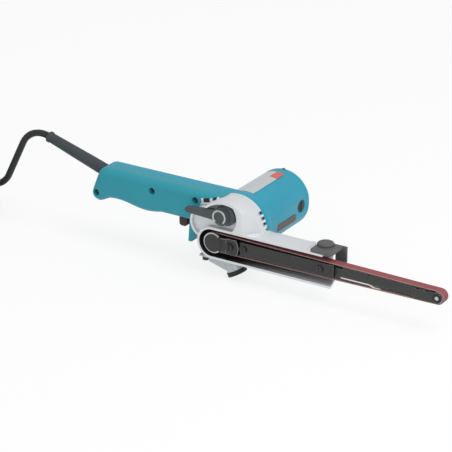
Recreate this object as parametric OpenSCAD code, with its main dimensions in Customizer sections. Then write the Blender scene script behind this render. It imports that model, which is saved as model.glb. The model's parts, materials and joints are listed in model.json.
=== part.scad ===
// Power file: a hand-held narrow belt sander with a motor across the handle,
// a spur gear pair, a die-cast belt housing and a sprung arm that carries the idler pulley.
// X runs along the arm to its tip, Y along the motor axis away from the open side, Z is up.

/* [Belt drive] */
// Length of the abrasive belt loop
belt_length = 533; // [500:1:570]
// Width of the belt
belt_w = 9; // [7:0.5:10]
// Thickness of the belt
belt_t = 1; // [0.6:0.1:1.3]
// Depth of the belt's front edge behind the housing rim
belt_setback = 4; // [3.5:0.5:6]
// Radius of the drive pulley
drive_r = 8.95; // [8:0.05:9.5]
// Radius of the idler pulley
idler_r = 5.6; // [5.2:0.1:6.4]

/* [Belt housing] */
// Half height of the belt cavity
cavity_h = 14.2; // [13:0.1:16]
// Wall of the belt housing
case_wall = 2.4; // [1.8:0.1:3.5]
// Reach of the top wall along the arm
top_reach = 122; // [115:1:126]
// Reach of the bottom wall along the arm
bottom_reach = 131; // [124:1:140]
// Depth of the belt housing
case_depth = 22; // [21:0.5:26]
// Thickness of the floor behind the belt
floor_t = 2.8; // [2:0.1:3.5]

/* [Gear train] */
// Gear module
gear_module = 0.8; // [0.75:0.05:0.85]
// Teeth of the motor pinion
pinion_teeth = 16; // [15:1:18]
// Teeth of the spindle gear
gear_teeth = 34; // [32:1:35]
// Angle of the motor axis seen from the spindle
mesh_angle = 43; // [38:1:48]
// Radius of the round gear head
head_r = 32.6; // [32.5:0.1:36]
// How far the gear head stands in front of the rim
head_proud = 2; // [1:0.5:4]

/* [Motor] */
// Radius of the motor housing
motor_r = 30; // [29.5:0.5:33]
// Radius of the bore that holds the stator
stator_r = 26; // [25:0.5:26.5]
// Distance of the side flats from the motor axis
flat_d = 28; // [27.5:0.5:29]
// Length of the housing behind the bearing plate
barrel_len = 80; // [78:1:95]
// Depth of the end cover
end_depth = 10; // [9:0.5:14]
// Radius of the armature
armature_r = 16; // [14:0.5:17]

/* [Handle] */
// Height of the top of the handle over the pulley axis
handle_top = 45; // [43:0.5:48]
// Thickness of the handle from front to back
handle_t = 32; // [31:0.5:40]
// Depth of the front of the handle behind the rim
handle_front = 9.5; // [9.5:0.5:11]
// Rounding of the long edges
handle_edge = 7; // [5:0.5:7.5]
// Wall of the handle shells
handle_wall = 2.6; // [2:0.1:3.2]
// Reach of the heel of the handle
heel_reach = 143.2; // [141:0.2:150]
// Radius of the heel
heel_r = 8.6; // [8:0.1:10]

/* [Controls] */
// Travel of the trigger
trigger_travel = 5; // [3:0.5:6]
// Travel of the arm against its spring
arm_travel = 8; // [5:0.5:9]
// Length of the tension lever from hub to thumb
lever_len = 41; // [38:1:44]

/* [Dust nozzle] */
// Tilt of the nozzle towards the arm
nozzle_tilt = 28; // [20:1:34]
// Bore radius of the nozzle
nozzle_bore = 7; // [6:0.5:7.5]
// Outer radius of the rubber collar
collar_r = 10; // [9.6:0.1:11]

/* [Hidden] */

// Clearances: pressed fit, running fit, loose gap between neighbours
press_gap = 0.02;
run_gap = 0.05;
loose_gap = 0.3;

// Colours of the finishes
teal = "#3FA0B8";
cast_silver = "#CDD0D2";
dark_grey = "#4A4A4A";
black_rubber = "#2C2C2C";
steel = "#A8A8A8";

// Belt loop: the pulleys' belt lines and the idler's place from the loop length
belt_in_drive = drive_r + loose_gap;
belt_in_idler = idler_r + loose_gap;
belt_mid_sum = belt_in_drive + belt_in_idler + belt_t;
idler_x = (belt_length - PI * belt_mid_sum) / 2;
taper_sin = (belt_in_drive - belt_in_idler) / idler_x;
belt_back = belt_setback + belt_w;
function belt_inside(x) = belt_in_drive - (belt_in_drive - belt_in_idler) * x / idler_x;

// Gear train: the motor axis lies at the mesh angle from the spindle axis at X = Z = 0
pitch_pinion = gear_module * pinion_teeth / 2;
pitch_gear = gear_module * gear_teeth / 2;
mesh_d = pitch_pinion + pitch_gear;
motor_x = mesh_d * cos(mesh_angle);
motor_z = mesh_d * sin(mesh_angle);
tooth_add = 0.8 * gear_module;
tooth_ded = 1.2 * gear_module;

// Depths along the motor axis, from the open side to the far end
cavity_y = belt_back + 1.2;
chamber_y = cavity_y + floor_t;
gear_y = chamber_y + loose_gap;
gear_end_y = case_depth - loose_gap;
plate_t = 3;
plate_end_y = case_depth + plate_t;
front_bearing_w = 7;
front_bearing_y = plate_end_y - 0.5;
fan_y = plate_end_y + 11.5;
fan_w = 7;
barrel_end_y = plate_end_y + barrel_len;
motor_end_y = barrel_end_y + end_depth;
brush_y = barrel_end_y - 7.2;
commutator_w = 11;
stack_mid_y = (fan_y + fan_w + brush_y - commutator_w / 2) / 2;
coil_overhang = 4;
stack_len = brush_y - commutator_w / 2 - fan_y - fan_w - 2 * (coil_overhang + 3.5);
stack_y = stack_mid_y - stack_len / 2;
stack_end_y = stack_mid_y + stack_len / 2;
rear_bearing_y = barrel_end_y + 0.5;
rear_bearing_w = 6;
shaft_r = 5;
journal_r = 4;
nose_r = 3.5;
collar_bore = motor_r + 1;
screw_ring_r = 27.5;
screw_angles = [80, 170, 270, 350];
screw_r = 2;

// Belt housing
case_r = cavity_h + case_wall;
case_shift = 1;
chamber_r = pitch_gear + tooth_add + 0.6;
pinion_room_r = pitch_pinion + tooth_add + 0.8;
spindle_r = 4;
bush_r = 6.5;
cover_post_x = 19;
cover_post_r = 3.4;

// Arm: fixed guide, sliding bar and the tip fork
guide_x = 30;
guide_end_x = 131;
guide_h = 6.4;
channel_h = 5;
plate_front_y = 2.6;
plate_back_y = belt_setback;
plate_h = 6.6;
channel_y = cavity_y - 2.8;
arm_screw_x = [33.2, 117.8];
bar_tail_x = 62;
bar_low = 3.7;
bar_out_x = 142;
bar_front_y = belt_setback + 0.2;
bar_back_y = belt_back - 0.2;
fork_x = idler_x - 29;
fork_front_y = belt_setback - 1.4;
fork_back_y = belt_back + 1.4;
cheek_t = 1.1;
cheek_r = 5;
pin_r = 2;
shoe_x = 140;
shoe_end_x = 182;

// Lever
lever_x = 10;
lever_z = 30.6;
lever_hub_r = 9.5;
lobe_at = [5, 0.5];
lobe_r = 9.8;
lever_floor_y = 6.5;
lever_back_y = lever_floor_y - loose_gap;
lever_front_y = -1.5;
tab_back_y = 2.7;
lever_cap_y = -4;
lever_cap_r = 8;
lever_shaft_r = 3;
lever_swing = 20;
rear_lobe_at = [-11, 17.5];
rear_lobe_r = 16.7;

// Guard and tracking knob at the mouth of the housing
knob_x = top_reach - 6;
guard_x = knob_x - 8;
guard_end_x = knob_x + 16;
guard_t = 2.4;
guard_top = case_r + guard_t;
knob_y = 17.5;
knob_r = 8.3;
knob_h = 3;

// Handle outline and its screws
handle_back = handle_front + handle_t;
split_y = handle_front + handle_t / 2;
heel_z = 17.2;
crown_r = 8.5;
crown_x = -heel_reach + 7.7;
grip_low = 12.2;
palm_mid = -121;
palm_wave = 70;
palm_depth = 2.3;
handle_end_x = 8;
handle_screw_at = [[-76.7, 34.5], [-26, 35.5], [-heel_reach - 0.9, heel_z + 1.3]];
recess_r = 3.6;
recess_depth = 6;
trigger_x = -46;
trigger_w = 9;
trigger_t = 14;
trigger_low = 1;
trigger_top = 16.5;
switch_low = trigger_top + trigger_travel + 1;
lock_x = -54;
lock_z = 31;
lock_r = 5;
lock_travel = 3;

// Dust nozzle
nozzle_rim_x = 22.5;
nozzle_rim_z = -31;
nozzle_y = 11;
nozzle_len = 22;
nozzle_r = 9;
collar_h = 4.5;
ear_t = 1.8;
nozzle_screw_x = -12;
nozzle_screw_y = 7;
floor_z = nozzle_rim_z - collar_r * sin(nozzle_tilt);

// Strain relief
relief_tilt = 17.76;
relief_x = crown_x - 1.7;
relief_z = 35.49;
relief_len = 80;
relief_r = 6.4;
relief_tip_r = 5.2;

// Cord: free stretch, wound coil of four layers and plug
cord_r = 3.5;
cord_step = 7.5;
cord_route = [
    for (p = [
        [-213.39, 59.89], [-216.2, 60.7], [-220, 61.3], [-224, 61], [-228.5, 59.4], [-233, 56.8],
        [-237.3, 53.2], [-241.5, 48.6], [-245.7, 43], [-250, 36], [-255, 27.8], [-259.7, 19.6],
        [-264, 11.6], [-267.7, 5], [-271.7, -0.5], [-276.7, -4.8], [-283, -7.5], [-291, -8.5],
        [-300, -8.6], [-318, -8.6]
    ]) [p[0], split_y, p[1]]
];
coil_r = 47;
coil_at = [-318, split_y - coil_r];
coil_base = floor_z + 1.1 + cord_r;
layer_turns = 2;
last_turns = 3;
loop_rings = 24;
tail_len = 45;
plug_axis_z = floor_z + 6.7;

// The whole part stands with the middle of its box over the origin
home = [
    (heel_reach + heel_r - idler_x - belt_in_idler - belt_t) / 2,
    -(lever_cap_y + motor_end_y) / 2,
    -floor_z
];

$fn = 72;

// Helpers

module slab(y0, y1) {
    translate([0, y1, 0])
        rotate([90, 0, 0])
            linear_extrude(y1 - y0)
                children();
}

module rod(x, z, r, y0, y1) {
    translate([x, y1, z])
        rotate([90, 0, 0])
            cylinder(r = r, h = y1 - y0);
}

// The same with flat sides, for the faceted handle
module flat_rod(x, z, r, y0, y1, sides = 32) {
    slab(y0, y1)
        polygon(arc([x, z], r, 0, 360 - 360 / sides, sides - 1));
}

module motor_rod(r, y0, y1) {
    rod(motor_x, motor_z, r, y0, y1);
}

module tube(x, z, r_out, r_in, y0, y1) {
    difference() {
        rod(x, z, r_out, y0, y1);
        rod(x, z, r_in, y0 - 1, y1 + 1);
    }
}

module block(low, high) {
    translate(low)
        cube(high - low);
}

function around(r, a) = [motor_x + r * cos(a), motor_z + r * sin(a)];

function arc(at, r, a0, a1, n) =
    [for (i = [0:n]) let (a = a0 + (a1 - a0) * i / n) at + r * [cos(a), sin(a)]];

function unit(v) = v / norm(v);

// Rings of points joined into one closed solid with a cap at each end
module loft(rings, caps = []) {
    n = len(rings[0]);
    m = len(rings);
    lid = len(caps) == 0 ? [[for (j = [0:n - 1]) j]] : caps;
    side = [
        for (i = [0:m - 2], j = [0:n - 1])
            let (a = i * n + j, b = i * n + (j + 1) % n)
                each [[a, b, b + n], [a, b + n, a + n]]
    ];
    polyhedron(
        points = [for (ring = rings) each ring],
        faces = concat(
            [for (f = lid) [for (j = [len(f) - 1:-1:0]) f[j]]],
            side,
            [for (f = lid) [for (j = f) (m - 1) * n + j]]
        )
    );
}

// A round ring of the tube at one point of its path
function tube_ring(at, along, ref, r, sides) =
    let (s = unit(cross(ref, along)), u = cross(s, along))
        [for (k = [0:sides - 1]) at + r * (cos(k * 360 / sides) * s + sin(k * 360 / sides) * u)];

function path_rings(path, ref, r, sides) =
    let (last = len(path) - 1)
        [
            for (i = [0:last])
                tube_ring(
                    path[i],
                    unit(path[min(i + 1, last)] - path[max(i - 1, 0)]),
                    ref, r, sides
                )
        ];

// Straight-flanked teeth, thinned for backlash
function gear_outline(teeth, pitch) =
    let (step = 360 / teeth, root = pitch - tooth_ded, tip = pitch + tooth_add)
        [
            for (i = [0:teeth - 1], p = [[root, -0.29], [tip, -0.1], [tip, 0.1], [root, 0.29]])
                p[0] * [cos((i + p[1]) * step), sin((i + p[1]) * step)]
        ];

// Belt line: an arc round each pulley, joined by the common tangents
module belt_line(grow) {
    lean = asin(taper_sin);
    polygon(concat(
        arc([0, 0], belt_in_drive + grow, 90 - lean, 270 + lean, 40),
        arc([idler_x, 0], belt_in_idler + grow, -90 + lean, 90 - lean, 32)
    ));
}

// Gear housing: round gear head and open belt housing in one casting

module case_outline(r, reach) {
    translate([-case_shift, 0])
        circle(r);
    translate([-case_shift, -r])
        square([reach + case_shift, 2 * r]);
}

module head_solid() {
    intersection() {
        motor_rod(head_r, -head_proud, case_depth);
        block([-60, -10, -5], [90, case_depth, 90]);
    }
    // Rear lobe, in front of the handle
    slab(tab_back_y + loose_gap, handle_front - 0.5)
        rear_lobe(rear_lobe_r);
    // Concave web that carries the head down to the top wall
    web_r = 9;
    web_z = case_r + web_r;
    web_x = motor_x + sqrt(pow(head_r + web_r, 2) - pow(web_z - motor_z, 2));
    slab(9, case_depth)
        difference() {
            polygon([
                [motor_x, 0], [web_x, 0], [web_x, case_r],
                around(head_r, atan2(web_z - motor_z, web_x - motor_x))
            ]);
            translate([web_x, web_z])
                circle(web_r);
        }
}

// Slope on the arm side of the head, from the lever pocket back to the flange
module head_slope() {
    translate([0, 0, case_r])
        linear_extrude(60)
            polygon([[33, -head_proud - 1], [90, -head_proud - 1], [90, 16], [49, 16]]);
}

// Pocket in which the lever and its thumb tab swing
module lever_pocket() {
    slab(-head_proud - 1, lever_floor_y)
        difference() {
            union() {
                intersection() {
                    motor_outline(head_r - case_wall);
                    union() {
                        translate([lever_x, lever_z])
                            circle(18.5);
                        translate([lever_x - 60, -10])
                            square([60, 80]);
                    }
                }
                rear_lobe(rear_lobe_r - case_wall);
            }
            case_outline(case_r, top_reach);
        }
    // Lower rim on the open side of the pocket, swept by the tab
    slab(-head_proud - 1, tab_back_y + loose_gap)
        polygon([
            [lever_x - 12, lever_z + 6], [lever_x - 55, lever_z + 6],
            [lever_x - 55, lever_z - 36], [lever_x - 12, lever_z - 13]
        ]);
}

module rear_lobe(r) {
    translate(rear_lobe_at)
        circle(r);
}

module motor_outline(r) {
    translate([motor_x, motor_z])
        circle(r);
}

// Air slots along the joint with the motor housing
module vent_notches(y0, y1) {
    for (a = [6, 16, 26, 36])
        translate([around(head_r, a)[0], y0, around(head_r, a)[1]])
            rotate([0, -a, 0])
                translate([-3, 0, -1.6])
                    cube([7, y1 - y0, 3.2]);
}

module gear_housing() {
    color(cast_silver)
        difference() {
            union() {
                difference() {
                    union() {
                        slab(0, case_depth)
                            case_outline(case_r, bottom_reach);
                        difference() {
                            head_solid();
                            slab(-head_proud - 1, 0)
                                case_outline(case_r, bottom_reach);
                            head_slope();
                        }
                        rod(0, 0, chamber_r + case_wall, cavity_y - 2, case_depth);
                    }
                    slab(-1, cavity_y)
                        case_outline(cavity_h, bottom_reach + 1);
                    // The top wall stops short of the bottom wall, which is cut at a slant
                    block([top_reach, -1, 0], [bottom_reach + 1, case_depth + 1, case_r + 1]);
                    translate([0, 0, -case_r - 1])
                        linear_extrude(case_r + 2)
                            polygon([
                                [bottom_reach - 6, case_depth + 1], [bottom_reach + 1, -1],
                                [bottom_reach + 2, case_depth + 1]
                            ]);
                    // Ribbed tray behind the floor
                    for (x = [52, 76, 100])
                        block([x, chamber_y, -cavity_h], [x + 20, case_depth + 1, cavity_h]);
                }
                // Rib across the top wall, in front of the guard
                block([guard_x - 8, 0.6, case_r - 1], [guard_x - 4.5, case_depth - 0.6, case_r + 1]);
                // Post for the pulley cover
                rod(cover_post_x, 0, cover_post_r, plate_front_y, cavity_y);
            }
            rod(cover_post_x, 0, screw_r + press_gap, 0, cavity_y);
            lever_pocket();
            rod(lever_x, lever_z, lever_shaft_r + run_gap, lever_floor_y - 1, case_depth - 2);
            rod(0, 0, chamber_r, chamber_y, case_depth + 1);
            motor_rod(pinion_room_r, chamber_y, case_depth + 1);
            rod(0, 0, bush_r + press_gap, cavity_y - 3, chamber_y + 1);
            for (a = screw_angles)
                rod(around(screw_ring_r, a)[0], around(screw_ring_r, a)[1],
                    screw_r + press_gap, chamber_y, case_depth + 1);
            vent_notches(case_depth - 3.5, case_depth + 1);
            // Dust outlet through the bottom wall, and the tapped hole beside it
            translate([nozzle_rim_x, nozzle_y, nozzle_rim_z])
                rotate([0, -nozzle_tilt, 0])
                    cylinder(r = nozzle_bore, h = 20);
            translate([nozzle_screw_x, nozzle_screw_y, -case_r - 1])
                cylinder(r = 1.5 + press_gap, h = case_wall + 1.2);
            // Holes for the arm screws and the tracking screw
            for (x = arm_screw_x)
                rod(x, 0, screw_r + press_gap, cavity_y - 1, chamber_y + 1);
            translate([knob_x, knob_y, cavity_h - 7])
                cylinder(r = screw_r + run_gap, h = 12);
        }
}

module bearing_plate() {
    color(cast_silver)
        difference() {
            union() {
                slab(case_depth, plate_end_y)
                    union() {
                        motor_outline(head_r);
                        circle(chamber_r + case_wall);
                    }
                motor_rod(front_bearing_r() + 3, plate_end_y - 1, front_bearing_y + front_bearing_w + 1);
                rod(0, 0, spindle_bearing_r() + 2.4, plate_end_y - 1, plate_end_y + 3.5);
            }
            motor_rod(front_bearing_r() + press_gap, front_bearing_y, plate_end_y + 20);
            motor_rod(pinion_room_r, case_depth - 1, front_bearing_y + 0.5);
            rod(0, 0, spindle_bearing_r() + press_gap, plate_end_y - 2.4, plate_end_y + 2.6);
            rod(0, 0, spindle_r + 2 + loose_gap, case_depth - 1, plate_end_y);
            for (a = screw_angles)
                rod(around(screw_ring_r, a)[0], around(screw_ring_r, a)[1],
                    screw_r + run_gap, case_depth - 1, plate_end_y + 1);
            vent_notches(case_depth - 1, plate_end_y + 1);
        }
}

function front_bearing_r() = 11;
function spindle_bearing_r() = 8;

// Motor housing with the rear half of the handle

function inset(p, d) =
    let (n = len(p))
        [
            for (i = [0:n - 1])
                let (
                    a = unit(p[i] - p[(i + n - 1) % n]),
                    b = unit(p[(i + 1) % n] - p[i]),
                    na = [a[1], -a[0]],
                    nb = [b[1], -b[0]]
                )
                    p[i] - d * (na + nb) / (1 + na * nb)
        ];

// Side view of the handle: flat top, crowned back, round heel and palm swell
top_points = 18;
crown_points = 6;
heel_points = 10;
function lower_edge(i) =
    i < 15
        ? let (x = palm_mid - 10 + i * 4.5) [x, grip_low + palm_depth * cos(360 * (x - palm_mid) / palm_wave)]
        : [handle_end_x - 18 * (top_points - i), grip_low];
function handle_outline() =
    let (
        crown = [crown_x, handle_top - crown_r],
        heel = [-heel_reach, heel_z],
        gap = heel - crown,
        lean = atan2(gap[1], gap[0]) + 360 - acos((crown_r - heel_r) / norm(gap)),
        crown_arc = arc(crown, crown_r, 90, lean, crown_points)
    )
        concat(
            [for (i = [0:top_points]) [handle_end_x + (crown_x - handle_end_x) * i / top_points, handle_top]],
            [for (i = [1:crown_points]) crown_arc[i]],
            arc(heel, heel_r, lean + 8, 298, heel_points),
            [for (i = [0:top_points]) lower_edge(i)]
        );

// Flat ends of the handle as upright strips, with a fan over the heel
function handle_caps() =
    let (n = 2 * top_points + crown_points + heel_points + 3, heel_foot = n - 1 - top_points)
        concat(
            [
                for (i = [0:top_points - 1])
                    each [[i, i + 1, n - 2 - i], [i, n - 2 - i, n - 1 - i]]
            ],
            [for (k = [top_points:heel_foot - 2]) [heel_foot, k, k + 1]]
        );

function handle_hollow() =
    let (low = grip_low + handle_wall + 1, top = handle_top - handle_wall - 0.8)
        [
            [handle_end_x - handle_wall, low], [handle_end_x - handle_wall, top], [crown_x + 4, top],
            [crown_x + 2, top - 2], [crown_x + 1, top - 12], [crown_x - 2, low + 7], [crown_x + 3, low + 3.4],
            [-103.5, low], [-86, low - palm_depth], [-68.5, low]
        ];

module handle_half() {
    depth = handle_t / 2;
    outline = handle_outline();
    turns = [0:22.5:90];
    outer = [for (t = turns) [handle_edge * (1 - sin(t)), -depth + handle_edge * (1 - cos(t))]];
    difference() {
        loft(
            [for (s = concat(outer, [[0, 0]])) [for (p = inset(outline, s[0])) [p[0], s[1], p[1]]]],
            handle_caps()
        );
        // The hollow leaves the heel solid
        slab(-depth + handle_wall, 1)
            polygon(handle_hollow());
    }
}

// Bosses for the handle screws, from the shell to the joint
module handle_bosses(r, y0, y1) {
    for (i = [0, 1])
        flat_rod(handle_screw_at[i][0], handle_screw_at[i][1], r, y0, y1);
}

// Blade in front of the trigger finger
module guard_blade(y0, y1) {
    slab(y0, y1)
        polygon([[-36, grip_low + 1], [-28, grip_low + 1], [-34, -12], [-38, -12]]);
}

module relief_axis() {
    translate([relief_x, split_y, relief_z])
        rotate([0, -90 + relief_tilt, 0])
            children();
}

// Hole for the strain relief, opening for the trigger, seat of the gear head
module handle_cuts() {
    relief_axis() {
        translate([0, 0, -20])
            linear_extrude(19.3)
                polygon(arc([0, 0], relief_tip_r + 0.9, 0, 345, 23));
        translate([0, 0, -2])
            linear_extrude(10)
                polygon(arc([0, 0], relief_tip_r + loose_gap, 0, 345, 23));
        translate([0, 0, 2.5])
            linear_extrude(30)
                polygon(arc([0, 0], relief_r + loose_gap, 0, 345, 23));
    }
    block(
        [trigger_x - trigger_w / 2 - loose_gap, split_y - trigger_t / 2 - loose_gap, -5],
        [trigger_x + trigger_w / 2 + loose_gap, split_y + trigger_t / 2 + loose_gap, trigger_top]
    );
}

module motor_housing() {
    color(teal)
        difference() {
            union() {
                translate([motor_x, 0, motor_z])
                    rotate([-90, 0, 0])
                        rotate_extrude()
                            polygon([
                                [0, plate_end_y], [head_r, plate_end_y], [head_r, plate_end_y + 5],
                                [motor_r, plate_end_y + 14], [motor_r, barrel_end_y],
                                [0, barrel_end_y]
                            ]);
                difference() {
                    union() {
                        translate([0, split_y, 0])
                            mirror([0, 1, 0])
                                handle_half();
                        handle_bosses(4.8, split_y, handle_back - 1.5);
                        guard_blade(split_y, handle_back - 8);
                    }
                    handle_cuts();
                }
            }
            // Stator bore and the wider seat of the bearing plate
            motor_rod(stator_r, plate_end_y - 1, barrel_end_y + 1);
            motor_rod(collar_bore, plate_end_y - 1, plate_end_y + 4);
            // Side flats with the brush holes
            for (s = [-1, 1])
                translate([motor_x + s * (flat_d + 10), 0, motor_z])
                    block([-10, plate_end_y + 24, -40], [10, barrel_end_y + 1, 40]);
            translate([motor_x - 50, brush_y, motor_z])
                rotate([0, 90, 0])
                    cylinder(r = brush_cap_r() + press_gap, h = 100);
            for (a = screw_angles) {
                rod(around(screw_ring_r, a)[0], around(screw_ring_r, a)[1],
                    screw_r + run_gap, plate_end_y, plate_end_y + 20);
                rod(around(screw_ring_r, a)[0], around(screw_ring_r, a)[1],
                    3.3, plate_end_y + 7, plate_end_y + 10);
            }
            for (p = handle_screw_at)
                rod(p[0], p[1], 1.6 + press_gap, split_y - 1, split_y + 13);
            // Tapped holes for the end cover
            for (s = [-1, 1])
                rod(motor_x, motor_z + s * end_screw_d(), 1.5 + press_gap, barrel_end_y - 8, barrel_end_y + 1);
            rod(lock_x, lock_z, lock_r + run_gap, handle_back - 6, handle_back + 1);
        }
}

function brush_cap_r() = 6.6;
function end_screw_d() = (motor_r + stator_r) / 2;

module handle_cover() {
    color(teal)
        difference() {
            union() {
                translate([0, split_y, 0])
                    handle_half();
                handle_bosses(5, handle_front + 2, split_y);
                guard_blade(handle_front + 6, split_y);
            }
            handle_cuts();
            motor_rod(head_r + loose_gap, -5, split_y + 1);
            for (p = handle_screw_at) {
                flat_rod(p[0], p[1], recess_r, handle_front - 1, handle_front + recess_depth, 20);
                rod(p[0], p[1], 1.6 + run_gap, handle_front + recess_depth - 1, split_y + 1);
            }
        }
}

module motor_end_cover() {
    color(teal)
        difference() {
            translate([motor_x, 0, motor_z])
                rotate([-90, 0, 0])
                    rotate_extrude()
                        polygon(concat(
                            [[0, barrel_end_y], [motor_r, barrel_end_y]],
                            arc([motor_r - 6, motor_end_y - 6], 6, 0, 90, 8),
                            [[0, motor_end_y]]
                        ));
            // Hollow with a boss for the rear bearing
            difference() {
                motor_rod(motor_r - 6, barrel_end_y - 1, motor_end_y - 2.4);
                motor_rod(rear_bearing_r() + 2.4, barrel_end_y + 0.2, motor_end_y);
            }
            motor_rod(rear_bearing_r() + press_gap, barrel_end_y - 1, rear_bearing_y + rear_bearing_w + press_gap);
            // Air slots in the end face
            for (i = [-2:2], s = [-1, 1])
                translate([motor_x + s * 18, motor_end_y - 5, motor_z + i * 5])
                    cube([10, 12, 2.4], center = true);
            for (s = [-1, 1]) {
                translate([motor_x + s * (flat_d + 10), 0, motor_z])
                    block([-10, barrel_end_y - 1, -40], [10, motor_end_y + 1, 40]);
                rod(motor_x, motor_z + s * end_screw_d(), 1.5 + run_gap, barrel_end_y - 1, motor_end_y + 1);
                rod(motor_x, motor_z + s * end_screw_d(), 3, barrel_end_y + 4, motor_end_y + 1);
            }
        }
}

// Motor

module stator_core() {
    color(steel)
        slab(stack_y, stack_end_y)
            difference() {
                motor_outline(stator_r - press_gap);
                motor_outline(armature_r + 0.6);
                for (s = [-1, 1])
                    translate([motor_x + s * (armature_r + 2.4) - 3.4, motor_z - 9])
                        square([6.8, 18]);
            }
}

module field_coils() {
    color("#8A4A2A")
        for (s = [-1, 1])
            slab(stack_y - coil_overhang, stack_end_y + coil_overhang)
                difference() {
                    translate([motor_x + s * (armature_r + 2.6) - 3, motor_z - 8.6])
                        square([6, 17.2]);
                    motor_outline(armature_r + 0.6);
                }
}

module brush_side() {
    for (s = [0, 180])
        translate([motor_x, brush_y, motor_z])
            rotate([0, s, 0])
                children();
}

module brush_holders() {
    color("#B08A3C")
        brush_side()
            difference() {
                translate([13, 0, 0])
                    rotate([0, 90, 0])
                        cylinder(r = 6, h = stator_r - 13.5);
                block([10, -3 - run_gap, -2.5 - run_gap], [30, 3 + run_gap, 2.5 + run_gap]);
            }
}

module carbon_brushes() {
    color("#303030")
        brush_side()
            block([commutator_r() + run_gap, -3, -2.5], [20, 3, 2.5]);
}

module brush_caps() {
    color(black_rubber)
        brush_side()
            difference() {
                translate([stator_r - 0.4, 0, 0])
                    rotate([0, 90, 0])
                        cylinder(r = brush_cap_r(), h = flat_d - stator_r + 0.2);
                block([flat_d - 1.2, -0.8, -5], [flat_d + 1, 0.8, 5]);
            }
}

function commutator_r() = 11;
function rear_bearing_r() = 9.5;

// Ball bearing: two races and a shield set back between them
module bearing(x, z, r_out, r_in, y0, w) {
    race = (r_out - r_in) * 0.24;
    difference() {
        tube(x, z, r_out, r_in, y0, y0 + w);
        tube(x, z, r_out - race, r_in + race, y0 - 1, y0 + 0.5);
        tube(x, z, r_out - race, r_in + race, y0 + w - 0.5, y0 + w + 1);
    }
}

module front_motor_bearing() {
    color(steel)
        bearing(motor_x, motor_z, front_bearing_r(), journal_r + run_gap, front_bearing_y, front_bearing_w);
}

module rear_motor_bearing() {
    color(steel)
        bearing(motor_x, motor_z, rear_bearing_r(), nose_r + run_gap, rear_bearing_y, rear_bearing_w);
}

module armature_shaft() {
    color(steel)
        union() {
            motor_rod(nose_r, gear_y, front_bearing_y - 0.5);
            motor_rod(journal_r, front_bearing_y - 0.5, front_bearing_y + front_bearing_w + 0.5);
            motor_rod(shaft_r, front_bearing_y + front_bearing_w + 0.5, rear_bearing_y - 0.5);
            motor_rod(nose_r, rear_bearing_y - 0.5, rear_bearing_y + rear_bearing_w - 0.5);
        }
}

module armature_core() {
    slots = 12;
    color("#7A7A7A")
        difference() {
            motor_rod(armature_r, stack_y, stack_end_y);
            motor_rod(shaft_r + press_gap, stack_y - 1, stack_end_y + 1);
            for (i = [0:slots - 1])
                translate([motor_x, 0, motor_z])
                    rotate([0, i * 360 / slots, 0])
                        block([armature_r - 6, stack_y - 1, -1.2], [armature_r + 1, stack_end_y + 1, 1.2]);
        }
}

module commutator() {
    bars = 24;
    color("#B87A45")
        difference() {
            motor_rod(commutator_r(), brush_y - commutator_w / 2, brush_y + commutator_w / 2);
            motor_rod(shaft_r + press_gap, brush_y - commutator_w, brush_y + commutator_w);
            for (i = [0:bars - 1])
                translate([motor_x, brush_y, motor_z])
                    rotate([0, (i + 0.5) * 360 / bars, 0])
                        block([commutator_r() - 0.8, -commutator_w, -0.25], [commutator_r() + 1, commutator_w, 0.25]);
        }
}

module cooling_fan() {
    blades = 14;
    color(dark_grey)
        difference() {
            union() {
                motor_rod(stator_r - 2, fan_y, fan_y + 1.6);
                motor_rod(shaft_r + 3, fan_y, fan_y + fan_w);
                for (i = [0:blades - 1])
                    translate([motor_x, 0, motor_z])
                        rotate([0, i * 360 / blades, 0])
                            block([shaft_r + 5, fan_y + 1, -0.7], [stator_r - 2.5, fan_y + fan_w, 0.7]);
            }
            motor_rod(shaft_r + press_gap, fan_y - 1, fan_y + fan_w + 1);
        }
}

module drive_pinion() {
    color(steel)
        difference() {
            translate([motor_x, 0, motor_z])
                slab(gear_y, gear_end_y)
                    rotate(mesh_angle + 180)
                        polygon(gear_outline(pinion_teeth, pitch_pinion));
            motor_rod(nose_r + press_gap, gear_y - 1, gear_end_y + 1);
        }
}

// Spindle

module driven_gear() {
    color(steel)
        difference() {
            slab(gear_y, gear_end_y)
                rotate(mesh_angle + 180 / gear_teeth)
                    polygon(gear_outline(gear_teeth, pitch_gear));
            rod(0, 0, spindle_r + press_gap, gear_y - 1, gear_end_y + 1);
            // Lightening groove in the web
            tube(0, 0, pitch_gear - 3, spindle_r + 3, gear_y - 1, gear_y + 1.2);
        }
}

module spindle() {
    color(steel)
        difference() {
            union() {
                rod(0, 0, spindle_r, belt_setback - 0.4, plate_end_y + 2);
                rod(0, 0, spindle_r + 2, gear_end_y, plate_end_y - 2.7);
            }
            rod(0, 0, 1.5 + press_gap, 0, belt_setback + 8);
        }
}

module spindle_bush() {
    color("#A07A3A")
        tube(0, 0, bush_r, spindle_r + run_gap, cavity_y, chamber_y);
}

module spindle_bearing() {
    color(steel)
        bearing(0, 0, spindle_bearing_r(), spindle_r + run_gap, plate_end_y - 2.4 + press_gap, 5 - 2 * press_gap);
}

// Crowned pulley with end rims that stop short of the belt
module drive_pulley() {
    color(steel)
        difference() {
            rod(0, 0, drive_r, belt_setback - 0.2, belt_back + 0.2);
            rod(0, 0, spindle_r + press_gap, belt_setback - 1, belt_back + 1);
            tube(0, 0, drive_r - 1.6, spindle_r + 1.4, belt_setback - 1, belt_setback + 1.2);
        }
}

module pulley_screw() {
    color(dark_grey)
        difference() {
            union() {
                rod(0, 0, 1.5, belt_setback - 0.4, belt_setback + 7);
                rod(0, 0, 3.4, belt_setback - 1.2, belt_setback - 0.4);
            }
            block([-4, belt_setback - 2, -0.4], [4, belt_setback - 0.9, 0.4]);
        }
}

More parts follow.
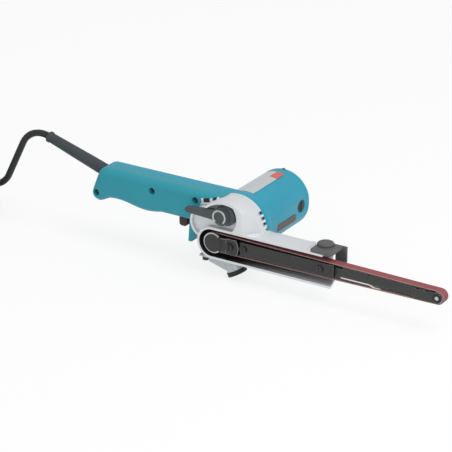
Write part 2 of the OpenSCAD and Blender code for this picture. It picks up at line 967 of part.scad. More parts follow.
// Pulley cover: a domed disc over the pulley and a bracket under the slotted screw
module pulley_cover() {
    disc_r = 10.7;
    bracket_end = 29;
    color(dark_grey)
        difference() {
            union() {
                rod(0, 0, disc_r, 0.9, 2.6);
                rod(0, 0, disc_r - 1.2, 0.2, 1);
                slab(0.9, 2.6)
                    translate([0, -7])
                        square([24, 14]);
                slab(0.5, 2.6)
                    intersection() {
                        translate([15, -8.2])
                            square([bracket_end - 15, 16.4]);
                        translate([bracket_end - 13, 0])
                            circle(13);
                    }
            }
            rod(cover_post_x, 0, screw_r + run_gap, -1, 4);
        }
}

module slotted_screw(x, head_r, head_y, head_h, tip_y) {
    difference() {
        union() {
            rod(x, 0, head_r, head_y, head_y + head_h);
            rod(x, 0, screw_r, head_y + head_h, tip_y);
        }
        block([x - 0.5, head_y - 1, -head_r - 1], [x + 0.5, head_y + head_h * 0.6, head_r + 1]);
    }
}

module cover_screw() {
    color(steel)
        slotted_screw(cover_post_x, 4, -1, 1.5, cavity_y - 2);
}

// Belt and arm

module abrasive_belt() {
    color("#9C4A48")
        slab(belt_setback, belt_back)
            difference() {
                belt_line(belt_t);
                belt_line(0);
            }
}

// Channel fixed to the floor, with the spring's seat at its closed end
module arm_guide() {
    color("#5A5A5A")
        difference() {
            block([guide_x, plate_back_y, -guide_h], [guide_end_x, cavity_y, guide_h]);
            block([guide_x + 7, plate_back_y - 1, -channel_h], [guide_end_x + 1, channel_y, channel_h]);
            for (x = arm_screw_x)
                rod(x, 0, screw_r + press_gap, 0, cavity_y + 1);
        }
}

module arm_plate() {
    color(dark_grey)
        difference() {
            slab(plate_front_y, plate_back_y)
                translate([guide_x, -plate_h])
                    square([guide_end_x + 2 - guide_x, 2 * plate_h]);
            for (x = arm_screw_x)
                rod(x, 0, screw_r + run_gap, 0, 5);
        }
}

module arm_screws() {
    color(black_rubber)
        for (x = arm_screw_x)
            slotted_screw(x, 3.6, plate_front_y - 1.2, 1.2, chamber_y - 0.5);
}

// Sliding bar: slotted shank in the guide, deep outer bar under the belt, fork at the tip
module arm_bar() {
    shank_h = channel_h - 0.4;
    color("#555A58")
        difference() {
            union() {
                block([bar_tail_x, plate_back_y + 0.4, -bar_low], [bar_out_x + 1, channel_y - 0.4, shank_h]);
                slab(bar_front_y, bar_back_y)
                    polygon([
                        [bar_out_x, -bar_low], [fork_x + 1, -bar_low],
                        [fork_x + 1, belt_inside(fork_x + 1) - 0.5],
                        [bar_out_x, belt_inside(bar_out_x) - 0.5]
                    ]);
                block([fork_x, bar_front_y, -4.8], [idler_x - 8, bar_back_y, belt_inside(idler_x) - 0.5]);
                for (y = [fork_front_y, fork_back_y - cheek_t])
                    slab(y, y + cheek_t) {
                        translate([fork_x + 4, -4.8])
                            square([idler_x - fork_x - 4, 9.8]);
                        translate([idler_x, 0])
                            circle(cheek_r);
                    }
                block([fork_x + 4, fork_front_y, -4.8], [idler_x - 9, fork_back_y, 5]);
            }
            // Slot that passes the front arm screw and limits the travel
            slab(0, cavity_y)
                union() {
                    translate([arm_screw_x[1], 0])
                        circle(screw_r + 0.6);
                    translate([arm_screw_x[1] + arm_travel, 0])
                        circle(screw_r + 0.6);
                    translate([arm_screw_x[1], -screw_r - 0.6])
                        square([arm_travel, 2 * screw_r + 1.2]);
                }
            rod(idler_x, 0, pin_r + press_gap, 0, fork_back_y + 1);
            for (x = rivet_x())
                translate([x, (bar_front_y + bar_back_y) / 2, -bar_low - 1])
                    cylinder(r = 1.2 + press_gap, h = 4);
            // Notches in the top edge
            for (x = [170, idler_x - 20, idler_x - 10])
                block([x - 1.5, 0, 4.2], [x + 1.5, bar_front_y + 1.5, 12]);
        }
}

function rivet_x() = [shoe_x + 8, shoe_x + 26];

// Pressed shoe that backs the lower run, stepped down at its free end
module shoe_plate() {
    color(steel)
        difference() {
            slab(bar_front_y, bar_back_y)
                polygon([
                    [shoe_x, -bar_low], [shoe_end_x - 12, -bar_low], [shoe_end_x - 9, -bar_low - 0.7],
                    [shoe_end_x - 6, -bar_low - 2], [shoe_end_x, -bar_low - 2.1],
                    [shoe_end_x, -belt_inside(shoe_end_x) + 0.4], [shoe_x, -belt_inside(shoe_x) + 0.4]
                ]);
            for (x = rivet_x())
                translate([x, (bar_front_y + bar_back_y) / 2, -10])
                    cylinder(r = 1.2 + press_gap, h = 10);
        }
}

module shoe_rivets() {
    color(steel)
        for (x = rivet_x())
            translate([x, (bar_front_y + bar_back_y) / 2, -belt_inside(x) + 0.6])
                cylinder(r = 1.2, h = belt_inside(x) - 0.6 - bar_low + 2.6);
}

module idler_pin() {
    color(steel)
        rod(idler_x, 0, pin_r, fork_front_y - 0.3, fork_back_y + 0.3);
}

module idler_pulley() {
    color("#8C8C8C")
        difference() {
            rod(idler_x, 0, idler_r, belt_setback - 0.1, belt_back + 0.1);
            rod(idler_x, 0, pin_r + run_gap, belt_setback - 1, belt_back + 1);
            tube(idler_x, 0, idler_r - 1.2, pin_r + 1, belt_setback - 1, belt_setback + 0.8);
        }
}

// Coil springs, swept as one wire
module spring(curls, length, r, wire) {
    loops = 8;
    count = curls * loops;
    path = [
        for (i = [0:count])
            [length * i / count, r * cos(i * 360 / loops), r * sin(i * 360 / loops)]
    ];
    loft(path_rings(path, [1, 0, 0], wire, 6));
}

module tension_spring() {
    wire = 0.7;
    color(steel)
        translate([guide_x + 7 + wire + 0.1, (plate_back_y + channel_y) / 2, 0])
            spring(8, bar_tail_x - guide_x - 7 - 2 * wire - 0.2, 2.4, wire);
}

module trigger_spring() {
    wire = 0.4;
    color(steel)
        translate([trigger_x, split_y, trigger_top + wire + 0.1])
            rotate([0, -90, 0])
                spring(4, switch_low - trigger_top - 2 * wire - 0.2, 2.6, wire);
}

// Lever

module tension_lever() {
    color(dark_grey)
        difference() {
            translate([lever_x, 0, lever_z])
                union() {
                    rod(0, 0, lever_hub_r, lever_front_y, lever_back_y);
                    rod(lobe_at[0], lobe_at[1], lobe_r, tab_back_y - 2, lever_back_y);
                    slab(lever_front_y, tab_back_y)
                        polygon(concat(
                            [[-3, -lever_hub_r * 0.58], [0, lever_hub_r * 0.66]],
                            arc([2.8 - lever_len, -1], 2.8, 90, 270, 8)
                        ));
                }
            rod(lever_x, lever_z, lever_shaft_r + press_gap, -10, 10);
        }
}

module lever_cap() {
    color(dark_grey)
        translate([lever_x, 0, lever_z])
            rotate([-90, 0, 0])
                rotate_extrude()
                    polygon([
                        [0, lever_cap_y + 1], [lever_cap_r - 2.6, lever_cap_y + 1],
                        [lever_cap_r - 2, lever_cap_y], [lever_cap_r - 0.8, lever_cap_y],
                        [lever_cap_r, lever_cap_y + 0.8], [lever_cap_r, lever_front_y], [0, lever_front_y]
                    ]);
}

module lever_shaft() {
    color(steel)
        rod(lever_x, lever_z, lever_shaft_r, lever_front_y, case_depth - 2.5);
}

// Guard over the belt at the mouth of the housing, with the tracking knob on it
module belt_guard() {
    corner = 4;
    color("#5E5E5E")
        difference() {
            union() {
                translate([0, 0, case_r])
                    linear_extrude(guard_t)
                        union() {
                            translate([guard_x + corner, -0.5])
                                square([guard_end_x - guard_x - 2 * corner, case_depth + 3]);
                            translate([guard_x, -0.5 + corner])
                                square([guard_end_x - guard_x, case_depth + 3 - corner]);
                            for (x = [guard_x + corner, guard_end_x - corner])
                                translate([x, -0.5 + corner])
                                    circle(corner);
                        }
                block([guard_end_x - 8, case_depth, 3], [guard_end_x + 4, case_depth + 2.5, guard_top]);
            }
            translate([knob_x, knob_y, case_r - 1])
                cylinder(r = screw_r + run_gap, h = guard_t + 2);
        }
}

module tracking_knob() {
    flutes = 18;
    color("#4E4E4E")
        difference() {
            translate([knob_x, knob_y, guard_top + 0.1])
                rotate_extrude()
                    polygon([
                        [0, 0], [knob_r, 0], [knob_r, knob_h * 0.4], [knob_r - 0.6, knob_h * 0.7],
                        [knob_r - 2.2, knob_h * 0.93], [knob_r - 4.6, knob_h], [0, knob_h]
                    ]);
            for (i = [0:flutes - 1])
                translate([knob_x, knob_y, guard_top])
                    rotate(i * 360 / flutes)
                        translate([knob_r + 0.4, 0, -1])
                            cylinder(r = 0.7, h = knob_h + 2, $fn = 24);
            translate([knob_x, knob_y, guard_top])
                cylinder(r = screw_r + press_gap, h = knob_h - 1);
        }
}

module tracking_screw() {
    color(steel)
        translate([knob_x, knob_y, cavity_h - 6])
            cylinder(r = screw_r, h = guard_top + knob_h - 1 - cavity_h + 6);
}

// Dust nozzle: flared duct with a fixing ear and a web between them
module nozzle_axis() {
    translate([nozzle_rim_x, nozzle_y, nozzle_rim_z])
        rotate([0, -nozzle_tilt, 0])
            children();
}

module dust_nozzle() {
    color(cast_silver)
        difference() {
            union() {
                intersection() {
                    nozzle_axis()
                        rotate_extrude()
                            polygon([
                                [0, 0], [collar_r - 1.4, 0], [collar_r - 1.4, collar_h], [nozzle_r, collar_h],
                                [nozzle_r - 0.8, 14], [nozzle_r - 0.8, nozzle_len], [0, nozzle_len]
                            ]);
                    block([-40, -20, -80], [60, 50, -case_r]);
                }
                block([nozzle_screw_x - 5, nozzle_screw_y - 4, -case_r - ear_t], [26, nozzle_y + 7, -case_r]);
                slab(nozzle_y - 6.5, nozzle_y + 3)
                    polygon([[-7.5, -case_r], [12, -case_r], [14, -28], [-6.5, -22.4]]);
            }
            nozzle_axis()
                translate([0, 0, -5])
                    cylinder(r = nozzle_bore, h = nozzle_len + 20);
            rod(0, 0, chamber_r + case_wall + loose_gap, cavity_y - 3, case_depth);
            translate([nozzle_screw_x, nozzle_screw_y, -40])
                cylinder(r = 1.5 + run_gap, h = 40);
        }
}

module nozzle_collar() {
    color(black_rubber)
        nozzle_axis()
            difference() {
                cylinder(r = collar_r, h = collar_h);
                translate([0, 0, -1])
                    cylinder(r = collar_r - 1.4 + press_gap, h = collar_h + 2);
            }
}

module nozzle_screw() {
    head = 4;
    color(black_rubber)
        translate([nozzle_screw_x, nozzle_screw_y, -case_r - ear_t])
            union() {
                cylinder(r = 1.5, h = ear_t + case_wall);
                translate([0, 0, -head])
                    cylinder(r = 3.4, h = head);
            }
}

// Handle pieces

module switch_body() {
    color("#3A3A3A")
        block([trigger_x - 16, split_y - 9, switch_low], [trigger_x + 12, split_y + 9, handle_top - handle_wall - 1]);
}

module handle_screws() {
    head_y = handle_front + recess_depth;
    color(black_rubber)
        for (p = handle_screw_at)
            difference() {
                union() {
                    rod(p[0], p[1], 2.7, head_y - 2.2, head_y);
                    rod(p[0], p[1], 1.6, head_y, split_y + 12.5);
                }
                translate([p[0], head_y - 2.2, p[1]])
                    for (a = [0, 90])
                        rotate([0, a, 0])
                            cube([4, 2, 0.9], center = true);
            }
}

module housing_screws() {
    color(steel)
        for (a = screw_angles)
            translate([around(screw_ring_r, a)[0], 0, around(screw_ring_r, a)[1]])
                union() {
                    rod(0, 0, screw_r, chamber_y + 0.4, plate_end_y + 7);
                    rod(0, 0, 3.1, plate_end_y + 7, plate_end_y + 9.5);
                }
}

module end_cover_screws() {
    color(black_rubber)
        for (s = [-1, 1])
            translate([motor_x, 0, motor_z + s * end_screw_d()])
                union() {
                    rod(0, 0, 1.5, barrel_end_y - 7, barrel_end_y + 4);
                    rod(0, 0, 2.7, barrel_end_y + 4, barrel_end_y + 6);
                }
}

module strain_relief() {
    tip = relief_len;
    color(black_rubber)
        relief_axis()
            rotate_extrude()
                polygon([
                    [0, -4], [relief_tip_r + 0.6, -4], [relief_tip_r + 0.6, -1], [relief_tip_r, -1],
                    [relief_tip_r, 2.8], [relief_r, 2.8], [relief_r, 14], [relief_tip_r, tip - 5],
                    [relief_tip_r, tip - 4], [relief_tip_r + 0.8, tip - 3], [relief_tip_r + 0.8, tip - 1],
                    [relief_tip_r, tip], [0, tip]
                ]);
}

module trigger() {
    w = trigger_w / 2;
    color("#3A2426")
        slab(split_y - trigger_t / 2, split_y + trigger_t / 2)
            translate([trigger_x, 0])
                polygon(concat(
                    [[w, trigger_top], [-w, trigger_top]],
                    arc([-w + 3, trigger_low + 3], 3, 180, 270, 5),
                    arc([w - 3, trigger_low + 3], 3, 270, 360, 5)
                ));
}

module lock_button() {
    color(black_rubber)
        translate([lock_x, handle_back + 2.5, lock_z])
            rotate([90, 0, 0])
                rotate_extrude()
                    polygon([[0, 0], [lock_r - 1, 0], [lock_r, 1], [lock_r, 5.5], [0, 5.5]]);
}

// Cord

module power_cord() {
    color(black_rubber)
        loft(path_rings(cord_route, [0, 1, 0], cord_r, 10));
}

// Wound from the top layer down: in, out, in and out again, with a wider last layer
half_climb = 0.25;
coil_turns = 3 * layer_turns + last_turns;
function coil_layer(t) = min(floor(t / layer_turns), 3);
function coil_phase(t) = t - layer_turns * coil_layer(t);
function coil_radius(t) =
    coil_r - cord_step * (coil_layer(t) % 2 == 0 ? coil_phase(t) : layer_turns - coil_phase(t));
function climb(t, at) = max(0, min(1, (t - at + half_climb) / (2 * half_climb)));
function coil_height(t) =
    coil_base + cord_step * (3 - climb(t, layer_turns) - climb(t, 2 * layer_turns) - climb(t, 3 * layer_turns));
function coil_point(t) =
    [
        coil_at[0] + coil_radius(t) * cos(90 + 360 * t),
        coil_at[1] + coil_radius(t) * sin(90 + 360 * t),
        coil_height(t)
    ];
coil_end = coil_point(coil_turns);
plug_at = [coil_end[0] - tail_len, coil_end[1], plug_axis_z];
coil_path = concat(
    [for (i = [0:coil_turns * loop_rings]) coil_point(i / loop_rings)],
    [
        coil_end + [-tail_len * 0.3, 0, 0],
        [plug_at[0] + 7, plug_at[1], plug_axis_z],
        plug_at
    ]
);

// Least gap between turns that are more than half a loop apart
function coil_gap() =
    min([
        for (i = [0:len(coil_path) - 1], j = [i + loop_rings / 2:1:len(coil_path) - 1])
            norm(coil_path[i] - coil_path[j])
    ]) - 2 * cord_r;

module cord_coil() {
    echo(coil_self_gap = coil_gap());
    color(black_rubber)
        loft(path_rings(coil_path, [0, 0, 1], cord_r, 6));
}

// Band round the bundle on its far side from the cord's entry
module coil_tie() {
    band = 0.7;
    low = [coil_r - 1.5 * cord_step - cord_r - 0.5, coil_base - cord_r - loose_gap];
    high = [coil_r + 0.5 * cord_step + cord_r + 0.5, coil_base + 3 * cord_step + cord_r + loose_gap];
    color("#202020")
        translate([coil_at[0], coil_at[1], 0])
            rotate([90, 0, -90])
                translate([0, 0, -3])
                    linear_extrude(6)
                        difference() {
                            translate(low - [band, band])
                                square(high - low + 2 * [band, band]);
                            translate(low)
                                square(high - low);
                        }
}

module plug_body() {
    color(black_rubber)
        translate([plug_at[0], plug_at[1], plug_axis_z - 6.5])
            linear_extrude(13)
                polygon([[0, -5], [0, 5], [-10, 6], [-22, 13], [-36, 13], [-36, -13], [-22, -13], [-10, -6]]);
}

module plug_pins() {
    color(steel)
        for (s = [-1, 1])
            translate([plug_at[0] - 36, plug_at[1] + s * 9.5, plug_axis_z])
                rotate([0, -90, 0])
                    cylinder(r = 2, h = 19);
}

module stand() {
    translate(home)
        children();
}

stand() gear_housing();
stand() bearing_plate();
stand() motor_housing();
stand() motor_end_cover();
stand() handle_cover();
stand() stator_core();
stand() field_coils();
stand() brush_holders();
stand() carbon_brushes();
stand() brush_caps();
stand() front_motor_bearing();
stand() rear_motor_bearing();
stand() spindle_bush();
stand() spindle_bearing();
stand() pulley_cover();
stand() cover_screw();
stand() arm_guide();
stand() arm_plate();
stand() arm_screws();
stand() abrasive_belt();
stand() belt_guard();
stand() dust_nozzle();
stand() nozzle_collar();
stand() nozzle_screw();
stand() switch_body();
stand() handle_screws();
stand() housing_screws();
stand() end_cover_screws();
stand() strain_relief();
stand() tension_spring();
stand() trigger_spring();
stand() armature_shaft();
stand() armature_core();
stand() commutator();
stand() cooling_fan();
stand() drive_pinion();
stand() spindle();
stand() driven_gear();
stand() drive_pulley();
stand() pulley_screw();
stand() arm_bar();
stand() shoe_plate();
stand() shoe_rivets();
stand() idler_pin();
stand() idler_pulley();
stand() tension_lever();
stand() lever_cap();
stand() lever_shaft();
stand() tracking_knob();
stand() tracking_screw();
stand() trigger();
stand() lock_button();
stand() power_cord();
stand() cord_coil();
stand() coil_tie();
stand() plug_body();
stand() plug_pins();
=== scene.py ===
# %% [markdown]
# # Dressing a power file
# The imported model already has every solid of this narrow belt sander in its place.
# This lesson gives it its finishes: moulded teal nylon, tumbled die-cast alloy, blackened
# steel, coated abrasive and rubber. It also adds thin trim and lays the mains lead.

# %% Load the frame
import json
import math

import bmesh
import bpy
import numpy as np
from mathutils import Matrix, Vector

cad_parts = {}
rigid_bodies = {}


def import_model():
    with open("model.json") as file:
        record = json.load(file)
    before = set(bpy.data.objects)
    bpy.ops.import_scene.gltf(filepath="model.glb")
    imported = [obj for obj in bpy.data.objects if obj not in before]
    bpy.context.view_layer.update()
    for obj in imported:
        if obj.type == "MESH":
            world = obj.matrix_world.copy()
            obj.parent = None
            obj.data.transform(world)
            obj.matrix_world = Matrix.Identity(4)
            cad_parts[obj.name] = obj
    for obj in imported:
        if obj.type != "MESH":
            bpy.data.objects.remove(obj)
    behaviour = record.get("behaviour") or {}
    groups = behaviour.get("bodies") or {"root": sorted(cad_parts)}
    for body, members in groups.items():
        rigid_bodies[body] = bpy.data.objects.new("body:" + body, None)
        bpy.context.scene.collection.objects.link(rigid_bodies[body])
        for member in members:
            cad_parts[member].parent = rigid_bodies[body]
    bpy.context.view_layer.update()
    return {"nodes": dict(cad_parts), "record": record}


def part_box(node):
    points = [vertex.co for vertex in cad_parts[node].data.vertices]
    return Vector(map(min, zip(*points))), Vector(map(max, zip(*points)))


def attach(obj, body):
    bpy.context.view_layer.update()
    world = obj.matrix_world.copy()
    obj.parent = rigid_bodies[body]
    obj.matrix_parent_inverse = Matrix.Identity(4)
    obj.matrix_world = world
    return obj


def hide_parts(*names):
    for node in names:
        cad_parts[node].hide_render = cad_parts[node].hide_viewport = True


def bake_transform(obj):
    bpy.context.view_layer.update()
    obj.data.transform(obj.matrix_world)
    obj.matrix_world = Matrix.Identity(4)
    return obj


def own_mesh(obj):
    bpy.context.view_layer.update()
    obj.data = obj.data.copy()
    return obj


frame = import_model()
nodes = frame["nodes"]
print("solids in the frame:", len(nodes))

# %% [markdown]
# ## One ruler
# Sizes are known in millimetres from the pulley axis, with X along the arm, Y along the motor
# axis and Z up. The spindle's joint says where that axis lies in the frame. One function
# turns drawing points into the frame's metres, so that each piece can be written with the
# same round numbers as a drawing of the tool.

# %% From drawing millimetres to the frame
SPINDLE_Y = 12.0
joints = {joint["name"]: joint for joint in frame["record"]["behaviour"]["joints"]}
PULLEY_AXIS = np.array(joints["spindle_spin"]["pos_m"]) * 1000 - [0.0, SPINDLE_Y, 0.0]


def place(points):
    """Drawing point plus the pulley axis, divided by a thousand."""
    return (np.asarray(points, dtype=float) + PULLEY_AXIS) / 1000.0


print("pulley axis at", place([0, 0, 0]))

# %% [markdown]
# ## Camera
# The photograph looks down on the open side of the belt housing, from 32 degrees to the right
# and 23 degrees above, with a long lens. A camera can be dragged about until the picture fits,
# but two angles, a distance and a point to look at can be fitted one at a time, so they
# are what is written here.

# %% Camera
AZIMUTH, ELEVATION = math.radians(32.06), math.radians(23.27)
STAND_OFF, LENS, SENSOR = 2.0, 163.43, 36.0
AIM = Vector(place([3.1, 20.0, 11.56]))


def add(name, data):
    """Makes an object of its data and puts it into the scene."""
    made = bpy.data.objects.new(name, data)
    bpy.context.scene.collection.objects.link(made)
    return made


away = Vector((
    math.sin(AZIMUTH) * math.cos(ELEVATION),
    -math.cos(AZIMUTH) * math.cos(ELEVATION),
    math.sin(ELEVATION),
))
camera_data = bpy.data.cameras.new("camera")
camera_data.lens = LENS
camera_data.sensor_width = SENSOR
camera = add("camera", camera_data)
camera.location = AIM + STAND_OFF * away
camera.rotation_euler = away.to_track_quat("Z", "Y").to_euler()
bpy.context.scene.camera = camera
print("camera at", tuple(round(v, 3) for v in camera.location))

# %% [markdown]
# ## Shader sums
# A finish is a small sum of textures. Writing it as arithmetic is easier to follow than a
# list of links, so one class wraps a socket and turns + - * into Math nodes. Every
# other node comes from its one method.

# %% A socket that can be added and multiplied


class Tone:
    """A value in a material's node tree."""

    def __init__(self, tree, socket):
        self.tree = tree
        self.socket = socket

    def node(self, kind, settings, sockets, out=0):
        """Adds a node of a kind, sets it up, fills its sockets and returns an output."""
        made = self.tree.nodes.new(kind)
        for name, value in settings.items():
            setattr(made, name, value)
        for key, value in sockets.items():
            if isinstance(value, Tone):
                self.tree.links.new(value.socket, made.inputs[key])
            else:
                made.inputs[key].default_value = value
        return Tone(self.tree, made.outputs[out])

    def sum_with(self, operation, other, turned=False):
        """One Math node of this value and another, in the other order if turned."""
        first, second = (other, self) if turned else (self, other)
        return self.node("ShaderNodeMath", {"operation": operation}, {0: first, 1: second})

    def __add__(self, other):
        return self.sum_with("ADD", other)

    __radd__ = __add__

    def __sub__(self, other):
        return self.sum_with("SUBTRACT", other)

    def __rsub__(self, other):
        return self.sum_with("SUBTRACT", other, True)

    def __mul__(self, other):
        return self.sum_with("MULTIPLY", other)

    __rmul__ = __mul__


print("sockets can be added, subtracted and multiplied")

# %% [markdown]
# ## Nodes that every finish uses
# Every finish starts with a shader and a point's place on the piece, and ends in a colour, a
# roughness and a bump. These nodes could be set up again in each finish. A short function
# for each lets a finish be read as one thought to a line.

# %% Noise, colours and bumps


def start_finish(name):
    """A new material, its shader and its Object coordinates."""
    made = bpy.data.materials.new(name)
    made.use_nodes = True
    tree = made.node_tree
    shader = tree.nodes["Principled BSDF"]
    at = Tone(tree, tree.nodes.new("ShaderNodeTexCoord").outputs["Object"])
    return made, shader, at


def feed(shader, name, value):
    """Links a sum to one of the shader's sockets, or sets a plain number on it."""
    if isinstance(value, Tone):
        value.tree.links.new(value.socket, shader.inputs[name])
    else:
        shader.inputs[name].default_value = value


def cloud(at, scale, detail=3.0, roughness=0.55):
    """Soft noise from 0 to 1 at a number of lumps to the metre."""
    return at.node("ShaderNodeTexNoise", {}, {
        "Vector": at, "Scale": scale, "Detail": detail, "Roughness": roughness,
    })


def part_of(at, vector, index):
    """One coordinate of a vector: 0 is X, 1 is Y and 2 is Z."""
    return at.node("ShaderNodeSeparateXYZ", {}, {0: vector}, index)


def flat_map(at):
    """The two coordinates of a piece's own UV map."""
    flat = at.node("ShaderNodeUVMap", {"uv_map": "UVMap"}, {})
    return part_of(at, flat, 0), part_of(at, flat, 1)


def colour(red, green, blue):
    """Screen values 0 to 255 turned into the linear light that a shader works in."""
    c = np.array([red, green, blue]) / 255.0
    lin = np.where(c <= 0.04045, c / 12.92, ((c + 0.055) / 1.055) ** 2.4)
    return (float(lin[0]), float(lin[1]), float(lin[2]), 1.0)


def blend_colour(mask, low, high):
    """Goes from one colour to another as the mask goes from 0 to 1."""
    return mask.node("ShaderNodeMix", {"data_type": "RGBA"}, {0: mask, 6: low, 7: high}, 2)


def relief(height, depth, strength):
    """A bump as deep as the real surface, in metres."""
    return height.node("ShaderNodeBump", {}, {
        "Height": height, "Distance": depth, "Strength": strength,
    })


print("noise, colours and bumps ready")

# %% [markdown]
# ## Moulded plastics and rubber
# Moulded nylon has a fine spark-eroded grain, so it shines softly and never quite evenly, and
# its edges are paler: partly wear where hands rub them, partly a painted highlight. A picture
# could be wrapped round each piece, but noise in the piece's own coordinates has no seams and the
# same real size everywhere. The bevelled copies below mark their edge faces with a value for wear
# and painted highlight, which the finishes read.

# %% Plastics and rubber
NYLON_GRAIN, RUBBER_GRAIN, MOULD_DEPTH = 2600.0, 1500.0, 0.00003
SHADE_LUMPS, WEAR_GLINT_LUMPS = 22.0, 260.0
WEAR_GLINT_SPREAD, WEAR_GLINT_LEAST, MOULD_WEAR_GLINT, MOULD_GLOSS = 0.9, 0.35, 0.3, 0.3


def edge_wear_and_glint(at, share):
    """Mark of bevelled faces for wear and a painted edge highlight, broken up by noise so that it is
    never even.
    """
    mark = at.node("ShaderNodeAttribute", {"attribute_name": "wear_glint"}, {}, 2)
    return mark * (cloud(at, WEAR_GLINT_LUMPS) * WEAR_GLINT_SPREAD + WEAR_GLINT_LEAST) * share


def moulded(name, low, high, shine, grain=NYLON_GRAIN):
    """Two close shades in a slow cloud, the mould's grain as a bump, and paler edges of wear and
    painted highlight.
    """
    made, shader, at = start_finish(name)
    slow = cloud(at, SHADE_LUMPS)
    fine = cloud(at, grain, 2.0)
    paler = tuple(min(1.0, 1.5 * v + 0.06) for v in high[:3]) + (1.0,)
    base = blend_colour(slow, low, high)
    feed(shader, "Base Color", blend_colour(edge_wear_and_glint(at, MOULD_WEAR_GLINT), base, paler))
    feed(shader, "Roughness", shine + 0.12 * (fine - 0.5) + 0.08 * (slow - 0.5))
    feed(shader, "Normal", relief(fine, MOULD_DEPTH, 0.5))
    feed(shader, "Specular IOR Level", MOULD_GLOSS)
    return made


teal_nylon = moulded("teal_nylon", colour(32, 142, 167), colour(44, 156, 181), 0.46)
# A greener, darker copy of the teal for the handle cover: painted shade of the handle's side
shaded_cover_nylon = moulded("shaded_cover_nylon", colour(37, 140, 156), colour(49, 154, 170), 0.46)
black_nylon = moulded("black_nylon", colour(54, 57, 58), colour(70, 74, 75), 0.46)
lever_nylon = moulded("lever_nylon", colour(63, 69, 71), colour(80, 87, 89), 0.4)
grey_nylon = moulded("grey_nylon", colour(78, 78, 79), colour(94, 94, 95), 0.5)
trigger_nylon = moulded("trigger_nylon", colour(58, 36, 38), colour(74, 48, 50), 0.4)
cap_black = moulded("cap_black", colour(26, 27, 29), colour(40, 41, 43), 0.4)
carbon = moulded("carbon", colour(30, 30, 31), colour(44, 44, 45), 0.6)
lead_rubber = moulded("lead_rubber", colour(36, 38, 39), colour(51, 54, 55), 0.58, RUBBER_GRAIN)
sleeve_rubber = moulded(
    "sleeve_rubber", colour(52, 58, 61), colour(68, 76, 79), 0.55, RUBBER_GRAIN,
)
collar_rubber = moulded(
    "collar_rubber", colour(28, 33, 32), colour(40, 46, 45), 0.55, RUBBER_GRAIN,
)
print("plastics made")

# %% [markdown]
# ## Metals
# The casting is tumbled: pale, satin and finely speckled. Blackened steel is painted bright
# along its edges, partly wear and partly a painted highlight, and turned steel is bright all over.
# Each could have nodes of its own, but they differ only in shades, shine and speckle. So one
# function makes them all, and each call can be tuned by itself.

# %% Metals
CAST_SPECKLE, CAST_DEPTH, METAL_LUMPS = 1500.0, 0.00004, 60.0
# Colour that edges are painted towards: wear, and a painted highlight
WEAR_GLINT_BRIGHT = colour(226, 224, 222)


def metal(name, low, high, shine, speckle, depth, sheen=1.0, wear_glint=0.0):
    """Fine speckle between two shades, slow clouds in the shine, and edges painted bright for wear and
    a painted highlight.
    """
    made, shader, at = start_finish(name)
    slow = cloud(at, METAL_LUMPS, 4.0)
    fine = cloud(at, speckle, 3.0, 0.65)
    base = blend_colour(fine, low, high)
    if wear_glint:
        base = blend_colour(edge_wear_and_glint(at, wear_glint), base, WEAR_GLINT_BRIGHT)
    feed(shader, "Metallic", sheen)
    feed(shader, "Base Color", base)
    feed(shader, "Roughness", shine + 0.16 * (slow - 0.5) + 0.1 * (fine - 0.5))
    feed(shader, "Normal", relief(fine, depth, 0.6))
    return made


die_cast = metal(
    "die_cast", colour(204, 208, 211), colour(228, 231, 233), 0.4, CAST_SPECKLE, CAST_DEPTH,
    sheen=0.35, wear_glint=0.5,
)
# A darker copy of the casting for the dust nozzle: painted shade
shaded_nozzle_cast = metal(
    "shaded_nozzle_cast", colour(156, 163, 167), colour(200, 205, 208), 0.36, CAST_SPECKLE, CAST_DEPTH,
    sheen=0.6,
)
bright_steel = metal(
    "bright_steel", colour(168, 168, 170), colour(212, 212, 214), 0.3, 2400.0, 0.00001,
)
black_steel = metal(
    "black_steel", colour(46, 46, 46), colour(68, 68, 68), 0.4, 1800.0, 0.00002,
    sheen=0.5, wear_glint=0.75,
)
arm_steel = metal(
    "arm_steel", colour(46, 49, 47), colour(76, 79, 77), 0.4, 1600.0, 0.00002,
    sheen=0.6, wear_glint=0.5,
)
copper = metal("copper", colour(150, 84, 48), colour(188, 110, 66), 0.35, 1800.0, 0.00001)
bronze = metal("bronze", colour(150, 116, 62), colour(186, 150, 90), 0.4, 1800.0, 0.00001)
print("metals made")

# %% [markdown]
# ## Painted shade and the shoe
# The inside of the casting is painted dark as shade, most of all round the pulley. The shoe under
# the arm has a bright steel band along its top with a painted highlight, over a dark band that is
# painted shade of the gap to the belt, and its far end is bent down. Each could be cut into two
# meshes, but a look that changes along a piece is easier to read as a sum:
# the finish takes the place of a point and blends two looks there.

# %% Painted shade inside the casting
PAINTED_SHADE_FROM, PAINTED_SHADE_FADE, PAINTED_SHADE_LUMPS = 26.0, 0.012, 120.0


def drawing_of(at):
    """X and Z of a point in drawing millimetres."""
    x = part_of(at, at, 0) * 1000 - PULLEY_AXIS[0]
    z = part_of(at, at, 2) * 1000 - PULLEY_AXIS[2]
    return x, z


def held(value):
    """Keeps a value between 0 and 1."""
    return value.node("ShaderNodeClamp", {}, {0: value})


